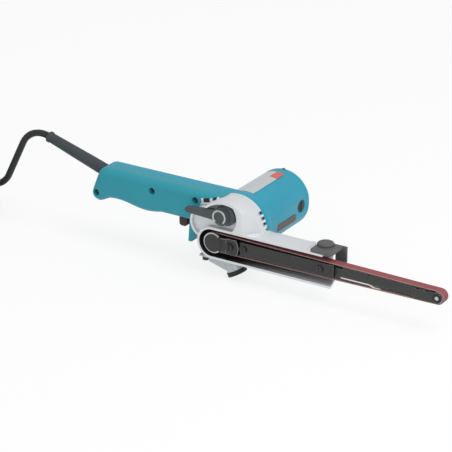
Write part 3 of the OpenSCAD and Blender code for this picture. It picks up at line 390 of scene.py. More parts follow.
def painted_cavity_shade(name):
    """Painted shade, darkest round the pulley, fades out over eight centimetres of the arm."""
    made, shader, at = start_finish(name)
    x, _ = drawing_of(at)
    fine = cloud(at, CAST_SPECKLE, 3.0, 0.65)
    unshaded = held((x - PAINTED_SHADE_FROM) * PAINTED_SHADE_FADE + 0.25 * (cloud(at, PAINTED_SHADE_LUMPS, 4.0) - 0.5))
    # Dark painted shade near the pulley, blended into the alloy colour further along the arm
    shade_dark = blend_colour(fine, colour(18, 17, 17), colour(38, 35, 35))
    alloy = blend_colour(fine, colour(150, 156, 160), colour(198, 203, 206))
    feed(shader, "Base Color", blend_colour(unshaded, shade_dark, alloy))
    feed(shader, "Metallic", 0.3 * unshaded)
    feed(shader, "Roughness", 0.7 - 0.25 * unshaded)
    feed(shader, "Normal", relief(fine, CAST_DEPTH, 0.6))
    return made


cast_in_painted_shade = painted_cavity_shade("cast_in_painted_shade")
print("soot made")

# %% Shoe with a bright steel band and painted highlight over painted gap shade
SHEET_TOP, STEEL_GLINT_T, STEEL_GLINT_EDGE, SHEET_SPECKLE, SHEET_DEPTH = -3.7, 1.25, 20.0, 2200.0, 0.00003
BENT_FROM, BENT_FADE, BENT_DROP = 170.0, 0.16, 2.0


def shoe_steel_glint_and_shade(name):
    """The upper millimetre is bright steel with a painted highlight, following its bent end; below it
    is painted shade of the gap to the belt.
    """
    made, shader, at = start_finish(name)
    x, z = drawing_of(at)
    top = SHEET_TOP - BENT_DROP * held((x - BENT_FROM) * BENT_FADE)
    # Bright band: steel with a painted highlight; the dark band below is painted shade of the gap
    steel_and_glint = held((z - top + STEEL_GLINT_T) * STEEL_GLINT_EDGE)
    fine = cloud(at, SHEET_SPECKLE)
    gap_shade = blend_colour(fine, colour(52, 44, 43), colour(84, 72, 70))
    glinting_steel = blend_colour(fine, colour(214, 208, 206), colour(240, 236, 234))
    feed(shader, "Base Color", blend_colour(steel_and_glint, gap_shade, glinting_steel))
    feed(shader, "Metallic", 0.4 * steel_and_glint)
    feed(shader, "Roughness", 0.8 - 0.45 * steel_and_glint)
    feed(shader, "Normal", relief(fine, SHEET_DEPTH, 0.6))
    return made


shoe_glint_and_shade = shoe_steel_glint_and_shade("shoe_glint_and_shade")
print("shoe made")

# %% [markdown]
# ## Abrasive and cloth
# The belt's outside is a bed of hard grains in red-brown resin. Its inside is woven cloth, and
# so is the strap round the lead. Grains as meshes would be a million faces, so cells of noise
# give them a bump. A weave turns with its piece, so it is drawn on the piece's own flat map.

# %% Coated abrasive and its cloth
GRAINS, GRAIN_DEPTH, WORN_LUMPS, THREAD_DEPTH = 2600.0, 0.00012, 90.0, 0.00008


def coated(name):
    """Cells four tenths of a millimetre wide are grains, in resin that wear makes uneven."""
    made, shader, at = start_finish(name)
    grains = at.node("ShaderNodeTexVoronoi", {"feature": "F1"}, {"Vector": at, "Scale": GRAINS})
    worn = cloud(at, WORN_LUMPS, 4.0)
    mix = grains * 0.8 + worn * 0.5 - 0.15
    feed(shader, "Base Color", blend_colour(mix, colour(121, 50, 54), colour(165, 88, 92)))
    feed(shader, "Roughness", 0.72 + 0.2 * (worn - 0.5))
    feed(shader, "Normal", relief(grains, GRAIN_DEPTH, 0.9))
    return made


def woven(name, low, high, threads):
    """Two waves cross on the piece's own UV map; threads is radians to one unit of it."""
    made, shader, at = start_finish(name)
    across, along = flat_map(at)
    warp = (across * threads).sum_with("SINE", 0.0)
    weft = (along * threads).sum_with("SINE", 0.0)
    weave = warp * weft * 0.5 + 0.5
    feed(shader, "Base Color", blend_colour(weave, low, high))
    feed(shader, "Roughness", 0.85)
    feed(shader, "Normal", relief(weave, THREAD_DEPTH, 0.8))
    return made


abrasive = coated("abrasive")
belt_cloth = woven("belt_cloth", colour(122, 96, 93), colour(182, 154, 148), 7800.0)
strap_cloth = woven("strap_cloth", colour(26, 26, 28), colour(54, 54, 57), 180.0)
print("abrasive and cloths made")

# %% [markdown]
# ## Which solid has which finish
# A finish can be put on each solid by hand, but one is soon forgotten. Here a table goes by
# finish, as a maker's order to the moulding shop, the foundry and the turner would. The line
# that it prints shows whether any solid is left without one.

# %% Finishes on the solids
FINISH = {
    teal_nylon: ["motor_housing", "motor_end_cover"],
    shaded_cover_nylon: ["handle_cover"],
    die_cast: ["gear_housing", "bearing_plate"],
    shaded_nozzle_cast: ["dust_nozzle"],
    black_nylon: ["switch_body", "cooling_fan", "lock_button", "coil_tie"],
    lever_nylon: ["tension_lever", "lever_cap"],
    grey_nylon: ["belt_guard", "tracking_knob"],
    trigger_nylon: ["trigger"],
    lead_rubber: ["power_cord", "cord_coil", "plug_body"],
    sleeve_rubber: ["strain_relief"],
    collar_rubber: ["nozzle_collar"],
    bright_steel: [
        "stator_core", "front_motor_bearing", "rear_motor_bearing", "spindle_bearing",
        "housing_screws", "tension_spring", "trigger_spring", "armature_shaft", "armature_core",
        "drive_pinion", "spindle", "driven_gear", "drive_pulley", "shoe_rivets", "idler_pin",
        "idler_pulley", "lever_shaft", "tracking_screw", "plug_pins",
    ],
    black_steel: [
        "pulley_cover", "cover_screw", "arm_plate", "arm_screws", "nozzle_screw",
        "handle_screws", "end_cover_screws", "pulley_screw",
    ],
    shoe_glint_and_shade: ["shoe_plate"],
    cap_black: ["brush_caps"],
    arm_steel: ["arm_guide", "arm_bar"],
    abrasive: ["abrasive_belt"],
    copper: ["field_coils", "commutator"],
    bronze: ["brush_holders", "spindle_bush"],
    carbon: ["carbon_brushes"],
}
dressed = []
for finish, names in FINISH.items():
    for name in names:
        slots = nodes[name].data.materials
        slots.clear()
        slots.append(finish)
        dressed.append(name)
print("dressed:", len(dressed), "left:", sorted(set(nodes) - set(dressed)))

# %% [markdown]
# ## Rounded edges
# Moulded and cast parts never have knife edges: a radius of a few tenths of a millimetre
# catches the light all along them. A Bevel modifier finds no edges on loose triangles. So a copy
# of each such solid has its triangles merged and its flat faces joined, and then every
# hard edge is bevelled. The copy stands for the solid.

# %% Copies that stand for their solids
MERGE = 0.000002
BODY_OF = {
    node: body for body, kept in frame["record"]["behaviour"]["bodies"].items() for node in kept
}


def merged_copy(name):
    """A copy of a solid's mesh, open for editing, with the points of its triangles merged."""
    mesh = nodes[name].data.copy()
    work = bmesh.new()
    work.from_mesh(mesh)
    bmesh.ops.remove_doubles(work, verts=work.verts, dist=MERGE)
    return mesh, work


def stand_in(name, ending, mesh, work):
    """Closes the copy and lets it stand for its solid, on the same body."""
    work.to_mesh(mesh)
    work.free()
    mesh.polygons.foreach_set("use_smooth", np.ones(len(mesh.polygons), dtype=bool))
    made = add(name + ending, mesh)
    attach(made, BODY_OF[name])
    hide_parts(name)
    return made


print("solids with a body:", len(BODY_OF))

# %% Soft edges
# Radius in millimetres
EDGES = {
    "handle_cover": 0.35, "motor_housing": 0.35, "motor_end_cover": 0.35, "gear_housing": 0.4,
    "bearing_plate": 0.25, "belt_guard": 0.4, "tension_lever": 0.5, "pulley_cover": 0.25,
    "arm_bar": 0.2, "arm_plate": 0.2, "dust_nozzle": 0.25, "trigger": 0.4, "lever_cap": 0.2,
    "tracking_knob": 0.25, "brush_caps": 0.2, "nozzle_collar": 0.3, "arm_guide": 0.2,
    "shoe_plate": 0.3, "idler_pin": 0.2, "lock_button": 0.3, "plug_body": 2.0, "plug_pins": 0.5,
    "cover_screw": 0.15, "arm_screws": 0.15, "handle_screws": 0.12,
    "end_cover_screws": 0.12, "nozzle_screw": 0.12, "idler_pulley": 0.25,
}
FLAT, HARD, SHARP = math.radians(0.6), math.radians(32), math.radians(28)


def soften(name, radius):
    """Joins flat faces and bevels edges sharper than 32 degrees, whose faces are marked."""
    mesh, work = merged_copy(name)
    bmesh.ops.dissolve_limit(work, angle_limit=FLAT, verts=work.verts, edges=work.edges)
    hard = [e for e in work.edges if len(e.link_faces) == 2 and e.calc_face_angle() > HARD]
    # Bevel faces are marked so that the finishes paint them paler: wear and a painted highlight
    mark = work.faces.layers.float.new("wear_glint")
    rounds = bmesh.ops.bevel(
        work, geom=hard, offset=radius / 1000, offset_type="OFFSET", segments=2, profile=0.5,
        affect="EDGES", clamp_overlap=True,
    )
    for face in rounds["faces"]:
        face[mark] = 1.0
    bmesh.ops.triangulate(work, faces=[f for f in work.faces if len(f.verts) > 4])
    made = stand_in(name, "_skin", mesh, work)
    mesh.set_sharp_from_angle(angle=SHARP)
    return made


skins = {name: soften(name, radius) for name, radius in EDGES.items()}
for name, skin in skins.items():
    print(name, "has", len(skin.data.polygons), "faces")

# %% [markdown]
# ## Spring copies
# The belt spring shortens as the arm is pushed in, and the trigger spring as the trigger is
# pulled. A helix could be worked out again for each length, or a copy squashed towards its
# fixed end by the share of its length that the travel leaves. Here each spring gets a copy of
# its own and that share is worked out, but the copy is not squashed.

# %% Springs
# Joint, number of the axis, fixed end as 0 for low and 1 for high, travel in millimetres
SPRINGS = {
    "tension_spring": ("arm_slide", 0, 0, 8.0),
    "trigger_spring": ("trigger_pull", 2, 1, 5.0),
}
SPRING_SPARE = 0.1


def springy(name, joint, along, fixed_side, travel):
    """The share of its length that is left is one less travel over length."""
    made = stand_in(name, "_wire", *merged_copy(name))
    ends = np.array(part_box(name), dtype=float)
    length = float(ends[1][along] - ends[0][along]) * 1000
    left = 1 - (travel + SPRING_SPARE) / length
    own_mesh(made)
    print(name, "is", round(length, 1), "mm long and gives", travel, "mm")


for name, facts in SPRINGS.items():
    springy(name, *facts)

# %% [markdown]
# ## Two finishes on one piece
# The inside of the belt housing and of the dust nozzle is painted dark as shade, while their
# outside stays pale. The pulley cover's step is painted bright round its rim as a painted
# highlight, up to where its tongue starts. Each could be split in two, but it is one piece of
# metal. So faces are picked by where they lie and given a second finish.

# %% Faces picked by where they lie


def face_places(skin):
    """Centres of all faces in drawing millimetres."""
    centres = np.empty(3 * len(skin.data.polygons))
    skin.data.polygons.foreach_get("center", centres)
    return centres.reshape(-1, 3) * 1000 - PULLEY_AXIS


def second_finish(skin, chosen, finish):
    """Gives the chosen faces of a piece another finish."""
    skin.data.materials.append(finish)
    index = np.zeros(len(skin.data.polygons), dtype=np.int32)
    index[chosen] = len(skin.data.materials) - 1
    skin.data.polygons.foreach_set("material_index", index)
    print(skin.name, "has", int(chosen.sum()), "faces in", finish.name)


def without_wear_glint(skin, chosen):
    """Takes the mark of wear and painted edge highlight off the chosen faces."""
    wear_glint = np.zeros(len(skin.data.polygons), dtype=np.float32)
    skin.data.attributes["wear_glint"].data.foreach_get("value", wear_glint)
    wear_glint[chosen] = 0.0
    skin.data.attributes["wear_glint"].data.foreach_set("value", wear_glint)


print("faces can be picked on", len(skins), "copies")

# %% Inside of the belt housing and of the nozzle
CAVITY_FROM, CAVITY_END, CAVITY_H, CAVITY_FRONT, CAVITY_BACK = -1.0, 118.0, 15.0, 0.5, 15.0
PORT_AT, PORT_TILT, PORT_R = np.array([22.5, 11.0, -31.0]), math.radians(28.0), 7.0
HOLE_TOP, HOLE_BOTTOM, HOLE_SPARE, BORE_SPARE = -13.0, -20.0, 0.6, 0.3


def off_port(at_mm):
    """Distance from the tilted axis of the dust port."""
    port_axis = np.array([math.sin(PORT_TILT), 0.0, -math.cos(PORT_TILT)])
    return np.linalg.norm(np.cross(at_mm - PORT_AT, port_axis), axis=1)


at_mm = face_places(skins["gear_housing"])
x, y, z = at_mm.T
off_line = np.hypot(x - np.clip(x, CAVITY_FROM, CAVITY_END), z)
cavity = (off_line < CAVITY_H) & (y > CAVITY_FRONT) & (y < CAVITY_BACK)
dust_hole = (off_port(at_mm) < PORT_R + HOLE_SPARE) & (z > HOLE_BOTTOM) & (z < HOLE_TOP)
# The cavity and the dust hole get the casting in painted shade
second_finish(skins["gear_housing"], cavity | dust_hole, cast_in_painted_shade)

bore = off_port(face_places(skins["dust_nozzle"])) < PORT_R + BORE_SPARE
# The nozzle's bore gets painted shade too
second_finish(skins["dust_nozzle"], bore, cast_in_painted_shade)

# %% Painted highlight on the step of the pulley cover
STEP_R, RIM_R, HIGHLIGHT_END, STEP_BACK, TONGUE_R = 9.2, 10.75, 6.5, 1.3, 11.15
x, y, z = face_places(skins["pulley_cover"]).T
from_axis = np.hypot(x, z)
rim_highlight = (from_axis > STEP_R) & (from_axis < RIM_R) & (y < STEP_BACK)
# The step's faces short of the tongue are painted bright steel: a painted highlight
second_finish(skins["pulley_cover"], rim_highlight & (x < HIGHLIGHT_END), bright_steel)
# The tongue's edges get no wear and no painted edge highlight
without_wear_glint(skins["pulley_cover"], (from_axis < TONGUE_R) & (x > HIGHLIGHT_END))

# %% [markdown]
# ## Surfaces from arrays
# Thin trim could be pushed and pulled out of Blender's ready-made shapes. A formula is easier to
# change later, so each new piece is a grid of points worked out all at once. Rows and columns may
# close on themselves, as round a tube. The grid also gives each face its place on a flat map.

# %% A grid made into a mesh
TINY, FULL_TURN = 0.000001, 2 * math.pi


def surface(name, points, finish, ring_rows=False, ring_columns=False, marks=None):
    """Joins point (r, c) to its neighbours (r+1, c) and (r, c+1) with one face each."""
    rows, columns = points.shape[:2]
    r, c = np.meshgrid(
        np.arange(rows if ring_rows else rows - 1),
        np.arange(columns if ring_columns else columns - 1), indexing="ij",
    )
    r, c = r.ravel(), c.ravel()
    corner_r = np.stack([r, r + 1, r + 1, r], axis=1)
    corner_c = np.stack([c, c, c + 1, c + 1], axis=1)
    faces = (corner_r % rows) * columns + corner_c % columns
    mesh = bpy.data.meshes.new(name)
    mesh.from_pydata(points.reshape(-1, 3).tolist(), [], faces.tolist())
    even = (np.linspace(0, 1, rows + 1), np.linspace(0, 1, columns + 1))
    row_marks, column_marks = marks or even
    flat = np.stack([row_marks[corner_r], column_marks[corner_c]], axis=-1)
    mesh.uv_layers.new(name="UVMap").data.foreach_set("uv", flat.ravel())
    mesh.polygons.foreach_set("use_smooth", np.ones(len(faces), dtype=bool))
    mesh.materials.append(finish)
    return add(name, mesh)


def weld(made):
    """Merges the points of poles and turns all faces outwards."""
    work = bmesh.new()
    work.from_mesh(made.data)
    bmesh.ops.remove_doubles(work, verts=work.verts, dist=MERGE)
    bmesh.ops.dissolve_degenerate(work, dist=TINY, edges=work.edges)
    bmesh.ops.recalc_face_normals(work, faces=work.faces)
    work.to_mesh(made.data)
    work.free()


def turned(profile, at, axis, upward, sideways, count=40):
    """Each profile row is a way along the axis and a radius, which turns about it."""
    turn = np.linspace(0, FULL_TURN, count, endpoint=False)
    spoke = np.outer(np.cos(turn), upward) + np.outer(np.sin(turn), sideways)
    return place(at + profile[:, None, :1] * axis + profile[:, None, 1:] * spoke[None, :, :])


print("grids ready")

# %% [markdown]
# ## Abrasive belt
# The belt is a cloth loop 533 mm long and 9 mm wide, pulled tight between the pulleys. Its path
# is two arcs and two straight runs. A curve with a bevel could follow it, but a grid
# keeps the columns of its section apart. So the grains can be outside, while the weave shows
# inside and along the edges.

# %% Path of the belt round the pulleys
DRIVE_R, IDLER_R, BELT_T, BELT_LONG = 9.25, 5.9, 1.0, 533.0
IDLER_X = (BELT_LONG - math.pi * (DRIVE_R + IDLER_R + BELT_T)) / 2


def belt_path(runs=60, arcs=40):
    """Normal angle round the loop, and how far from drive to idler each point belongs."""
    lean = math.acos((DRIVE_R - IDLER_R) / IDLER_X)
    round_drive = np.linspace(lean, FULL_TURN - lean, arcs)
    round_idler = np.linspace(-lean, lean, arcs)
    share = np.linspace(0, 1, runs + 2)[1:-1]
    angle = np.concatenate([
        round_drive, np.full(runs, -lean), round_idler, np.full(runs, lean),
    ])
    along = np.concatenate([np.zeros(arcs), share, np.ones(arcs), 1 - share])
    return angle, along


angle, along = belt_path()
outward = np.stack([np.cos(angle), np.zeros_like(angle), np.sin(angle)], axis=1)
radius = DRIVE_R + (IDLER_R - DRIVE_R) * along
inner = np.stack([IDLER_X * along, np.zeros_like(along), np.zeros_like(along)], axis=1)
inner = inner + outward * radius[:, None]
print("pulleys are", round(IDLER_X, 2), "mm apart, and the path has", len(inner), "points")

# %% Belt as a section carried along its path
BELT_Y, BELT_W, BELT_ROUND = 4.0, 9.0, 0.25
# Columns of the section that lie outside, counted from 0
GRAIN_SIDE = [5, 6]


def lengths_round(points):
    """Running length at each corner of a closed line, in metres."""
    steps = np.linalg.norm(np.diff(points, axis=0, append=points[:1]), axis=1)
    return np.concatenate([[0], np.cumsum(steps)]) / 1000


low, high, near, far = BELT_ROUND, BELT_T - BELT_ROUND, BELT_ROUND, BELT_W - BELT_ROUND
section = np.array([
    [near, 0], [BELT_W / 2, 0], [far, 0], [BELT_W, low], [BELT_W, high],
    [far, BELT_T], [BELT_W / 2, BELT_T], [near, BELT_T], [0, high], [0, low],
])
loop = inner[:, None, :] + outward[:, None, :] * section[None, :, 1:]
loop[:, :, 1] += BELT_Y + section[None, :, 0]
marks = (lengths_round(inner), lengths_round(section))
belt = surface("belt", place(loop), belt_cloth, ring_rows=True, ring_columns=True, marks=marks)
belt.data.materials.append(abrasive)
column = np.tile(np.arange(len(section)), len(angle))
belt.data.polygons.foreach_set("material_index", np.isin(column, GRAIN_SIDE).astype(np.int32))
weld(belt)
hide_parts("abrasive_belt")
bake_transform(belt)
print("belt loop, inside:", round(float(marks[0][-1]) * 1000, 1), "mm")

# %% [markdown]
# ## Washer at the arm's tip
# A dark washer lies round the pin of the small pulley, between its head and the fork. It is
# a flat ring with a rounded rim. Blender has cylinders to cut it from, but turning its section
# about the pin's axis, as on a lathe, makes hole, faces and rim in one step.

# %% Washer as a turned section
# Way along the pin and radius
WASHER = np.array([
    [2.6, 2.25], [2.4, 2.25], [2.35, 2.3], [2.35, 4.25], [2.42, 4.4], [2.6, 4.4],
])
WASHER_SHARP = math.radians(30)
washer_points = turned(
    WASHER, np.array([IDLER_X, 0.0, 0.0]), np.array([0.0, 1.0, 0.0]), [1, 0, 0], [0, 0, 1],
)
washer = surface("pin_washer", washer_points, cap_black, ring_rows=True, ring_columns=True)
weld(washer)
washer.data.set_sharp_from_angle(angle=WASHER_SHARP)
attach(washer, "arm")
print("washer has", len(washer.data.polygons), "faces")

# %% [markdown]
# ## Label and plate
# The motor carries a brushed silver label over its top and a dark plate on its side. A
# plane could be cut, rounded and bent with modifiers. A grid whose rows grow shorter at
# both ends has its round corners at once, and bending it is one cosine and one sine.

# %% Thin plates with rounded corners
ACROSS, GATHER = 15, 1.6
BRUSH_LINES, BRUSH_DEPTH = (3200.0, 60.0, 3200.0), 0.00001


def rounded(long, wide, corner, count=25):
    """Two flat coordinates from the middle; rows gather at the ends, along quarter circles."""
    p = np.linspace(-0.5, 0.5, 2 * count + 1)
    p = np.sign(p) * (1 - (1 - 2 * np.abs(p)) ** GATHER) / 2
    u = long * p
    over = np.clip(np.abs(u) - (long / 2 - corner), 0, corner)
    half = wide / 2 - corner + np.sqrt(np.clip(corner ** 2 - over ** 2, 0, None))
    v = np.linspace(-1, 1, ACROSS)
    return np.repeat(u[:, None], ACROSS, axis=1), half[:, None] * v[None, :]


def plate_of(name, points, finish, thick, body):
    """Gives a grid a thickness inwards and lets it ride on a body."""
    made = surface(name, points, finish)
    solid = made.modifiers.new("thickness", "SOLIDIFY")
    solid.thickness = thick / 1000
    solid.offset = -1.0
    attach(made, body)
    print(name, "has", len(made.data.polygons), "faces")


def brushed(name, low, high, field, field_from):
    """Fine lines along the plate, and one corner of the map in another colour."""
    made, shader, at = start_finish(name)
    stretched = at.node("ShaderNodeMapping", {}, {"Vector": at, "Scale": BRUSH_LINES})
    lines = cloud(stretched, 1.0, 2.0)
    base = blend_colour(lines, low, high)
    u, v = flat_map(at)
    past_u = u.sum_with("GREATER_THAN", field_from[0])
    inside = past_u * v.sum_with("GREATER_THAN", field_from[1])
    feed(shader, "Base Color", blend_colour(inside, base, field))
    feed(shader, "Metallic", 0.25 * (1 - inside))
    feed(shader, "Roughness", 0.38 + 0.15 * (lines - 0.5))
    feed(shader, "Normal", relief(lines, BRUSH_DEPTH, 0.5))
    return made


print("plates ready")

# %% Label over the motor, and plate on its side
AXES_APART, MOTOR_LEAN = 20.0, math.radians(43.0)
MOTOR_X, MOTOR_Z = AXES_APART * math.cos(MOTOR_LEAN), AXES_APART * math.sin(MOTOR_LEAN)
LABEL_R, LABEL_Y, LABEL_LONG, LABEL_WIDE, LABEL_CORNER = 30.16, 69.0, 60.0, 22.5, 2.0
LABEL_MIDDLE, LABEL_T = math.radians(97.0), 0.3
RED_CORNER = (0.66, 0.56)
label_silver = brushed(
    "label_silver", colour(176, 182, 186), colour(208, 213, 216), colour(206, 92, 84), RED_CORNER,
)
u, v = rounded(LABEL_LONG, LABEL_WIDE, LABEL_CORNER)
bend = LABEL_MIDDLE - v / LABEL_R
label_points = place(np.stack([
    MOTOR_X + LABEL_R * np.cos(bend), LABEL_Y + u, MOTOR_Z + LABEL_R * np.sin(bend),
], axis=-1))
plate_of("top_label", label_points, label_silver, LABEL_T, "housing")

PLATE_X, PLATE_Y, PLATE_Z = 42.877, 66.0, 6.0
PLATE_LONG, PLATE_WIDE, PLATE_CORNER, PLATE_T = 42.0, 7.2, 1.5, 0.4
NO_CORNER = (2.0, 2.0)
plate_dark = brushed(
    "plate_dark", colour(74, 62, 62), colour(98, 84, 82), colour(98, 84, 82), NO_CORNER,
)
u, v = rounded(PLATE_LONG, PLATE_WIDE, PLATE_CORNER)
plate_points = place(np.stack([np.full_like(u, PLATE_X), PLATE_Y + u, PLATE_Z + v], axis=-1))
plate_of("side_plate", plate_points, plate_dark, PLATE_T, "housing")

# %% [markdown]
# ## Air vents over the casting's rear edge
# Where the handle meets the casting, cooling air leaves through slots between short cast teeth,
# over a cast lip. Cutting them would mean Boolean modifiers on a moulded shell. Small rounded
# plates stand in for them and leave the solids whole: dark ones are painted shade of the slots,
# and pale cast ones are the teeth and the lip. They are laid on the handle's side, which is flat
# and then turns over into the top on a 7 mm radius.

# %% Plates laid on the handle's side
SIDE_Y, TURN_Z, TURN_R, TURN_SPARE = 9.5, 38.0, 7.0, 0.1


def handle_side(z):
    """Flat up to the turn, then a quarter circle towards the top."""
    over = np.clip(z - TURN_Z, 0, TURN_R - TURN_SPARE)
    return SIDE_Y + TURN_R - np.sqrt(TURN_R ** 2 - over ** 2)


def on_side(x, z, proud):
    """Lays flat points on the handle's side, lifted off it by what they stand proud."""
    return place(np.stack([x, handle_side(z) - proud, z], axis=-1))


def tilted(x, z, long, wide, corner, tilt):
    """A rounded plate turned by an angle about its middle."""
    u, v = rounded(long, wide, corner, 8)
    c, n = math.cos(math.radians(tilt)), math.sin(math.radians(tilt))
    return x + u * c - v * n, z + u * n + v * c


print("the handle's side turns over at a height of", TURN_Z, "mm")

# %% Painted shade of the vent slots, and teeth
SLOT_SHADE_PROUD, SLOT_SHADE_T, TOOTH_PROUD, CAST_T = 0.1, 0.5, 0.8, 1.6
# Middle in X and Z, length, width, corner radius, and tilt in degrees
SLOT_SHADES = {
    "vent_slot_rear": (-12.6, 38.9, 6.8, 4.0, 1.2, 12),
    "vent_slot_front": (-3.8, 41.9, 3.2, 2.6, 0.9, 22),
}
TEETH = {
    "vent_tooth_rear": (-17.2, 37.4, 1.9, 6.0, 0.6, 6),
    "vent_tooth_middle": (-7.2, 39.6, 2.2, 5.0, 0.7, 14),
    "vent_tooth_front": (-0.2, 42.6, 2.2, 3.2, 0.7, 22),
}
# Dark plates: painted shade where the slot openings are
for name, facts in SLOT_SHADES.items():
    points = on_side(*tilted(*facts), SLOT_SHADE_PROUD)
    plate_of(name, points, cap_black, SLOT_SHADE_T, "housing")
for name, facts in TEETH.items():
    points = on_side(*tilted(*facts), TOOTH_PROUD)
    plate_of(name, points, die_cast, CAST_T, "housing")

# %% Lip below the vents
LIP_PROUD, LIP_WIDE, LIP_CORNER = 0.9, 1.9, 0.02
# Middle line in X and Z
LIP = np.array([
    [-19.0, 33.6], [-17.2, 34.7], [-13.0, 35.6], [-9.0, 36.6], [-5.0, 39.0], [-1.0, 41.4],
    [2.0, 43.0],
])
lip_at, across_lip = rounded(1.0, LIP_WIDE, LIP_CORNER, 20)
knots = np.linspace(-0.5, 0.5, len(LIP))
lip_x = np.interp(lip_at, knots, LIP[:, 0])
lip_z = np.interp(lip_at, knots, LIP[:, 1]) + across_lip
plate_of("vent_lip", on_side(lip_x, lip_z, LIP_PROUD), die_cast, CAST_T, "housing")

# %% [markdown]
# ## Clip on the lever
# A steel clip holds the cap of the tension lever: it is a flat wire bent into an open ring.
# Blender's torus is neither flat nor open, so a flattened circle is carried along an arc and
# shrinks to a point at both ends.

# %% Clip round the lever's cap
CLIP_AT, CLIP_R = np.array([10.0, -4.0, 30.6]), 6.65
CLIP_FROM, CLIP_TO = -52, 232
WIRE_WIDE, WIRE_HIGH, WIRE_END = 0.95, 0.5, 0.03


def open_ring(count=73, sides=12):
    """A flattened tube round an arc that is open below; its ends close like a half ellipse."""
    turn = np.radians(np.linspace(CLIP_FROM, CLIP_TO, count))
    into_end = np.clip((np.abs(np.linspace(-1, 1, count)) - 1 + WIRE_END) / WIRE_END, 0, 1)
    size = np.sqrt(1 - into_end ** 2)[:, None]
    side = np.linspace(0, FULL_TURN, sides, endpoint=False)[None, :]
    radial = CLIP_R + WIRE_WIDE * size * np.cos(side)
    return CLIP_AT + np.stack([
        radial * np.cos(turn)[:, None], WIRE_HIGH * size * np.sin(side), radial * np.sin(turn)[:, None],
    ], axis=-1)


clip = surface("lever_clip", place(open_ring()), bright_steel, ring_columns=True)
weld(clip)
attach(clip, "lever")
print("clip made of", len(clip.data.polygons), "faces")

# %% [markdown]
# ## Sleeve of the lead
# A rubber sleeve keeps the lead from kinking where it leaves the handle. It has a thick root,
# a slow taper and a bead at the tip. Its solid in the model has hard edges, which moulded rubber
# never has. A profile with a few more points, turned about the tilted axis, rounds them.

# %% Sleeve as a turned profile
SLEEVE_AT, SLEEVE_TILT = np.array([-137.2, 25.5, 35.49]), math.radians(17.76)
SLEEVE_SHARP = math.radians(50)
# Way along the sleeve and radius
SLEEVE = np.array([
    [-4, 0], [-4, 5.5], [-3.7, 5.8], [-1.3, 5.8], [-1, 5.2], [2.8, 5.2], [2.8, 6.4], [14, 6.4],
    [44, 5.85], [75, 5.2], [75.6, 5.22], [76.2, 5.6], [76.8, 5.93], [77.6, 6.0], [78.4, 6.0],
    [79.1, 5.85], [79.6, 5.45], [79.9, 5.0], [80, 4.2], [80, 0],
])
sleeve_points = turned(
    SLEEVE, SLEEVE_AT, np.array([-math.cos(SLEEVE_TILT), 0, math.sin(SLEEVE_TILT)]),
    [math.sin(SLEEVE_TILT), 0, math.cos(SLEEVE_TILT)], [0, 1, 0],
)
sleeve = surface("lead_sleeve", sleeve_points, sleeve_rubber, ring_columns=True)
weld(sleeve)
sleeve.data.set_sharp_from_angle(angle=SLEEVE_SHARP)
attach(sleeve, "housing")
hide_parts("strain_relief")
print("sleeve has", len(sleeve.data.polygons), "faces")

# %% [markdown]
# ## Mains lead
# Two and a half metres of round rubber lead leave the sleeve, bend down to the bench
# and are wound for storage. The coil has four layers: in, out, in and out again, each
# layer a lead's width below the last. A simulated rope is hard to steer into a neat coil, so
# the line is worked out. Its two free bends are arcs of four times the lead's thickness.

# %% Route of the lead
LEAD_R, LEAD_STEP, LAYERS, LAYER_TURNS, TURNS, TURN_POINTS = 3.5, 7.5, 4, 2, 9, 40
COIL_X, COIL_Y, COIL_R, COIL_START, DROP_TURNS = -318.0, -21.5, 47.0, -300.0, 0.5
BENCH, STRAP_LIFT = -PULLEY_AXIS[2], 1.1
BASE = BENCH + STRAP_LIFT + LEAD_R
TOP_TURN = BASE + (LAYERS - 1) * LEAD_STEP
TIP_X, LEAD_Y, TIP_Z = -213.39, 25.5, 59.89
BEND_R, FALL, CREST_POINTS, FOOT_POINTS = 28.0, math.radians(63.0), 17, 13
PLUG_REACH, PLUG_UP, PLUG_NECK, TAIL_BEND = 45.0, 6.7, 7, 13.5


def hanging_lead():
    """One arc over the crest, a straight fall, and one arc out of it onto the coil."""
    crest = np.linspace(math.pi / 2 - SLEEVE_TILT, math.pi / 2 + FALL, CREST_POINTS)
    crest_x = TIP_X + BEND_R * (np.cos(crest) - math.sin(SLEEVE_TILT))
    crest_z = TIP_Z + BEND_R * (np.sin(crest) - math.cos(SLEEVE_TILT))
    foot = np.linspace(FALL, 0, FOOT_POINTS)
    foot_z = TOP_TURN + BEND_R * (1 - np.cos(foot))
    fall_x = (crest_z[-1] - foot_z[0]) / math.tan(FALL)
    end_x = crest_x[-1] - fall_x - BEND_R * math.sin(FALL)
    x = np.concatenate([crest_x, end_x + BEND_R * np.sin(foot), [COIL_START]])
    z = np.concatenate([crest_z, foot_z, [TOP_TURN]])
    return np.stack([x, np.full_like(x, LEAD_Y), z], axis=1)


def wound(turns):
    """Radius falls and rises by one step a turn; height drops a step between layers."""
    layer = np.minimum(np.floor(turns / LAYER_TURNS), LAYERS - 1)
    phase = turns - LAYER_TURNS * layer
    radius = COIL_R - LEAD_STEP * np.where(layer % 2 == 0, phase, LAYER_TURNS - phase)
    ends = LAYER_TURNS * np.arange(1, LAYERS)
    fall = sum(np.clip((turns - end) / DROP_TURNS + 0.5, 0, 1) for end in ends)
    angle = math.pi / 2 + FULL_TURN * turns
    return np.stack([
        COIL_X + radius * np.cos(angle),
        COIL_Y + radius * np.sin(angle),
        TOP_TURN - LEAD_STEP * fall,
    ], axis=1)


coil = wound(np.linspace(0, TURNS, TURNS * TURN_POINTS + 1))
plug_at = np.array([coil[-1][0] - PLUG_REACH, coil[-1][1], BENCH + PLUG_UP])
tail = np.array([coil[-1] - [TAIL_BEND, 0, 0], plug_at + [PLUG_NECK, 0, 0], plug_at])
line = place(np.concatenate([hanging_lead(), coil, tail]))

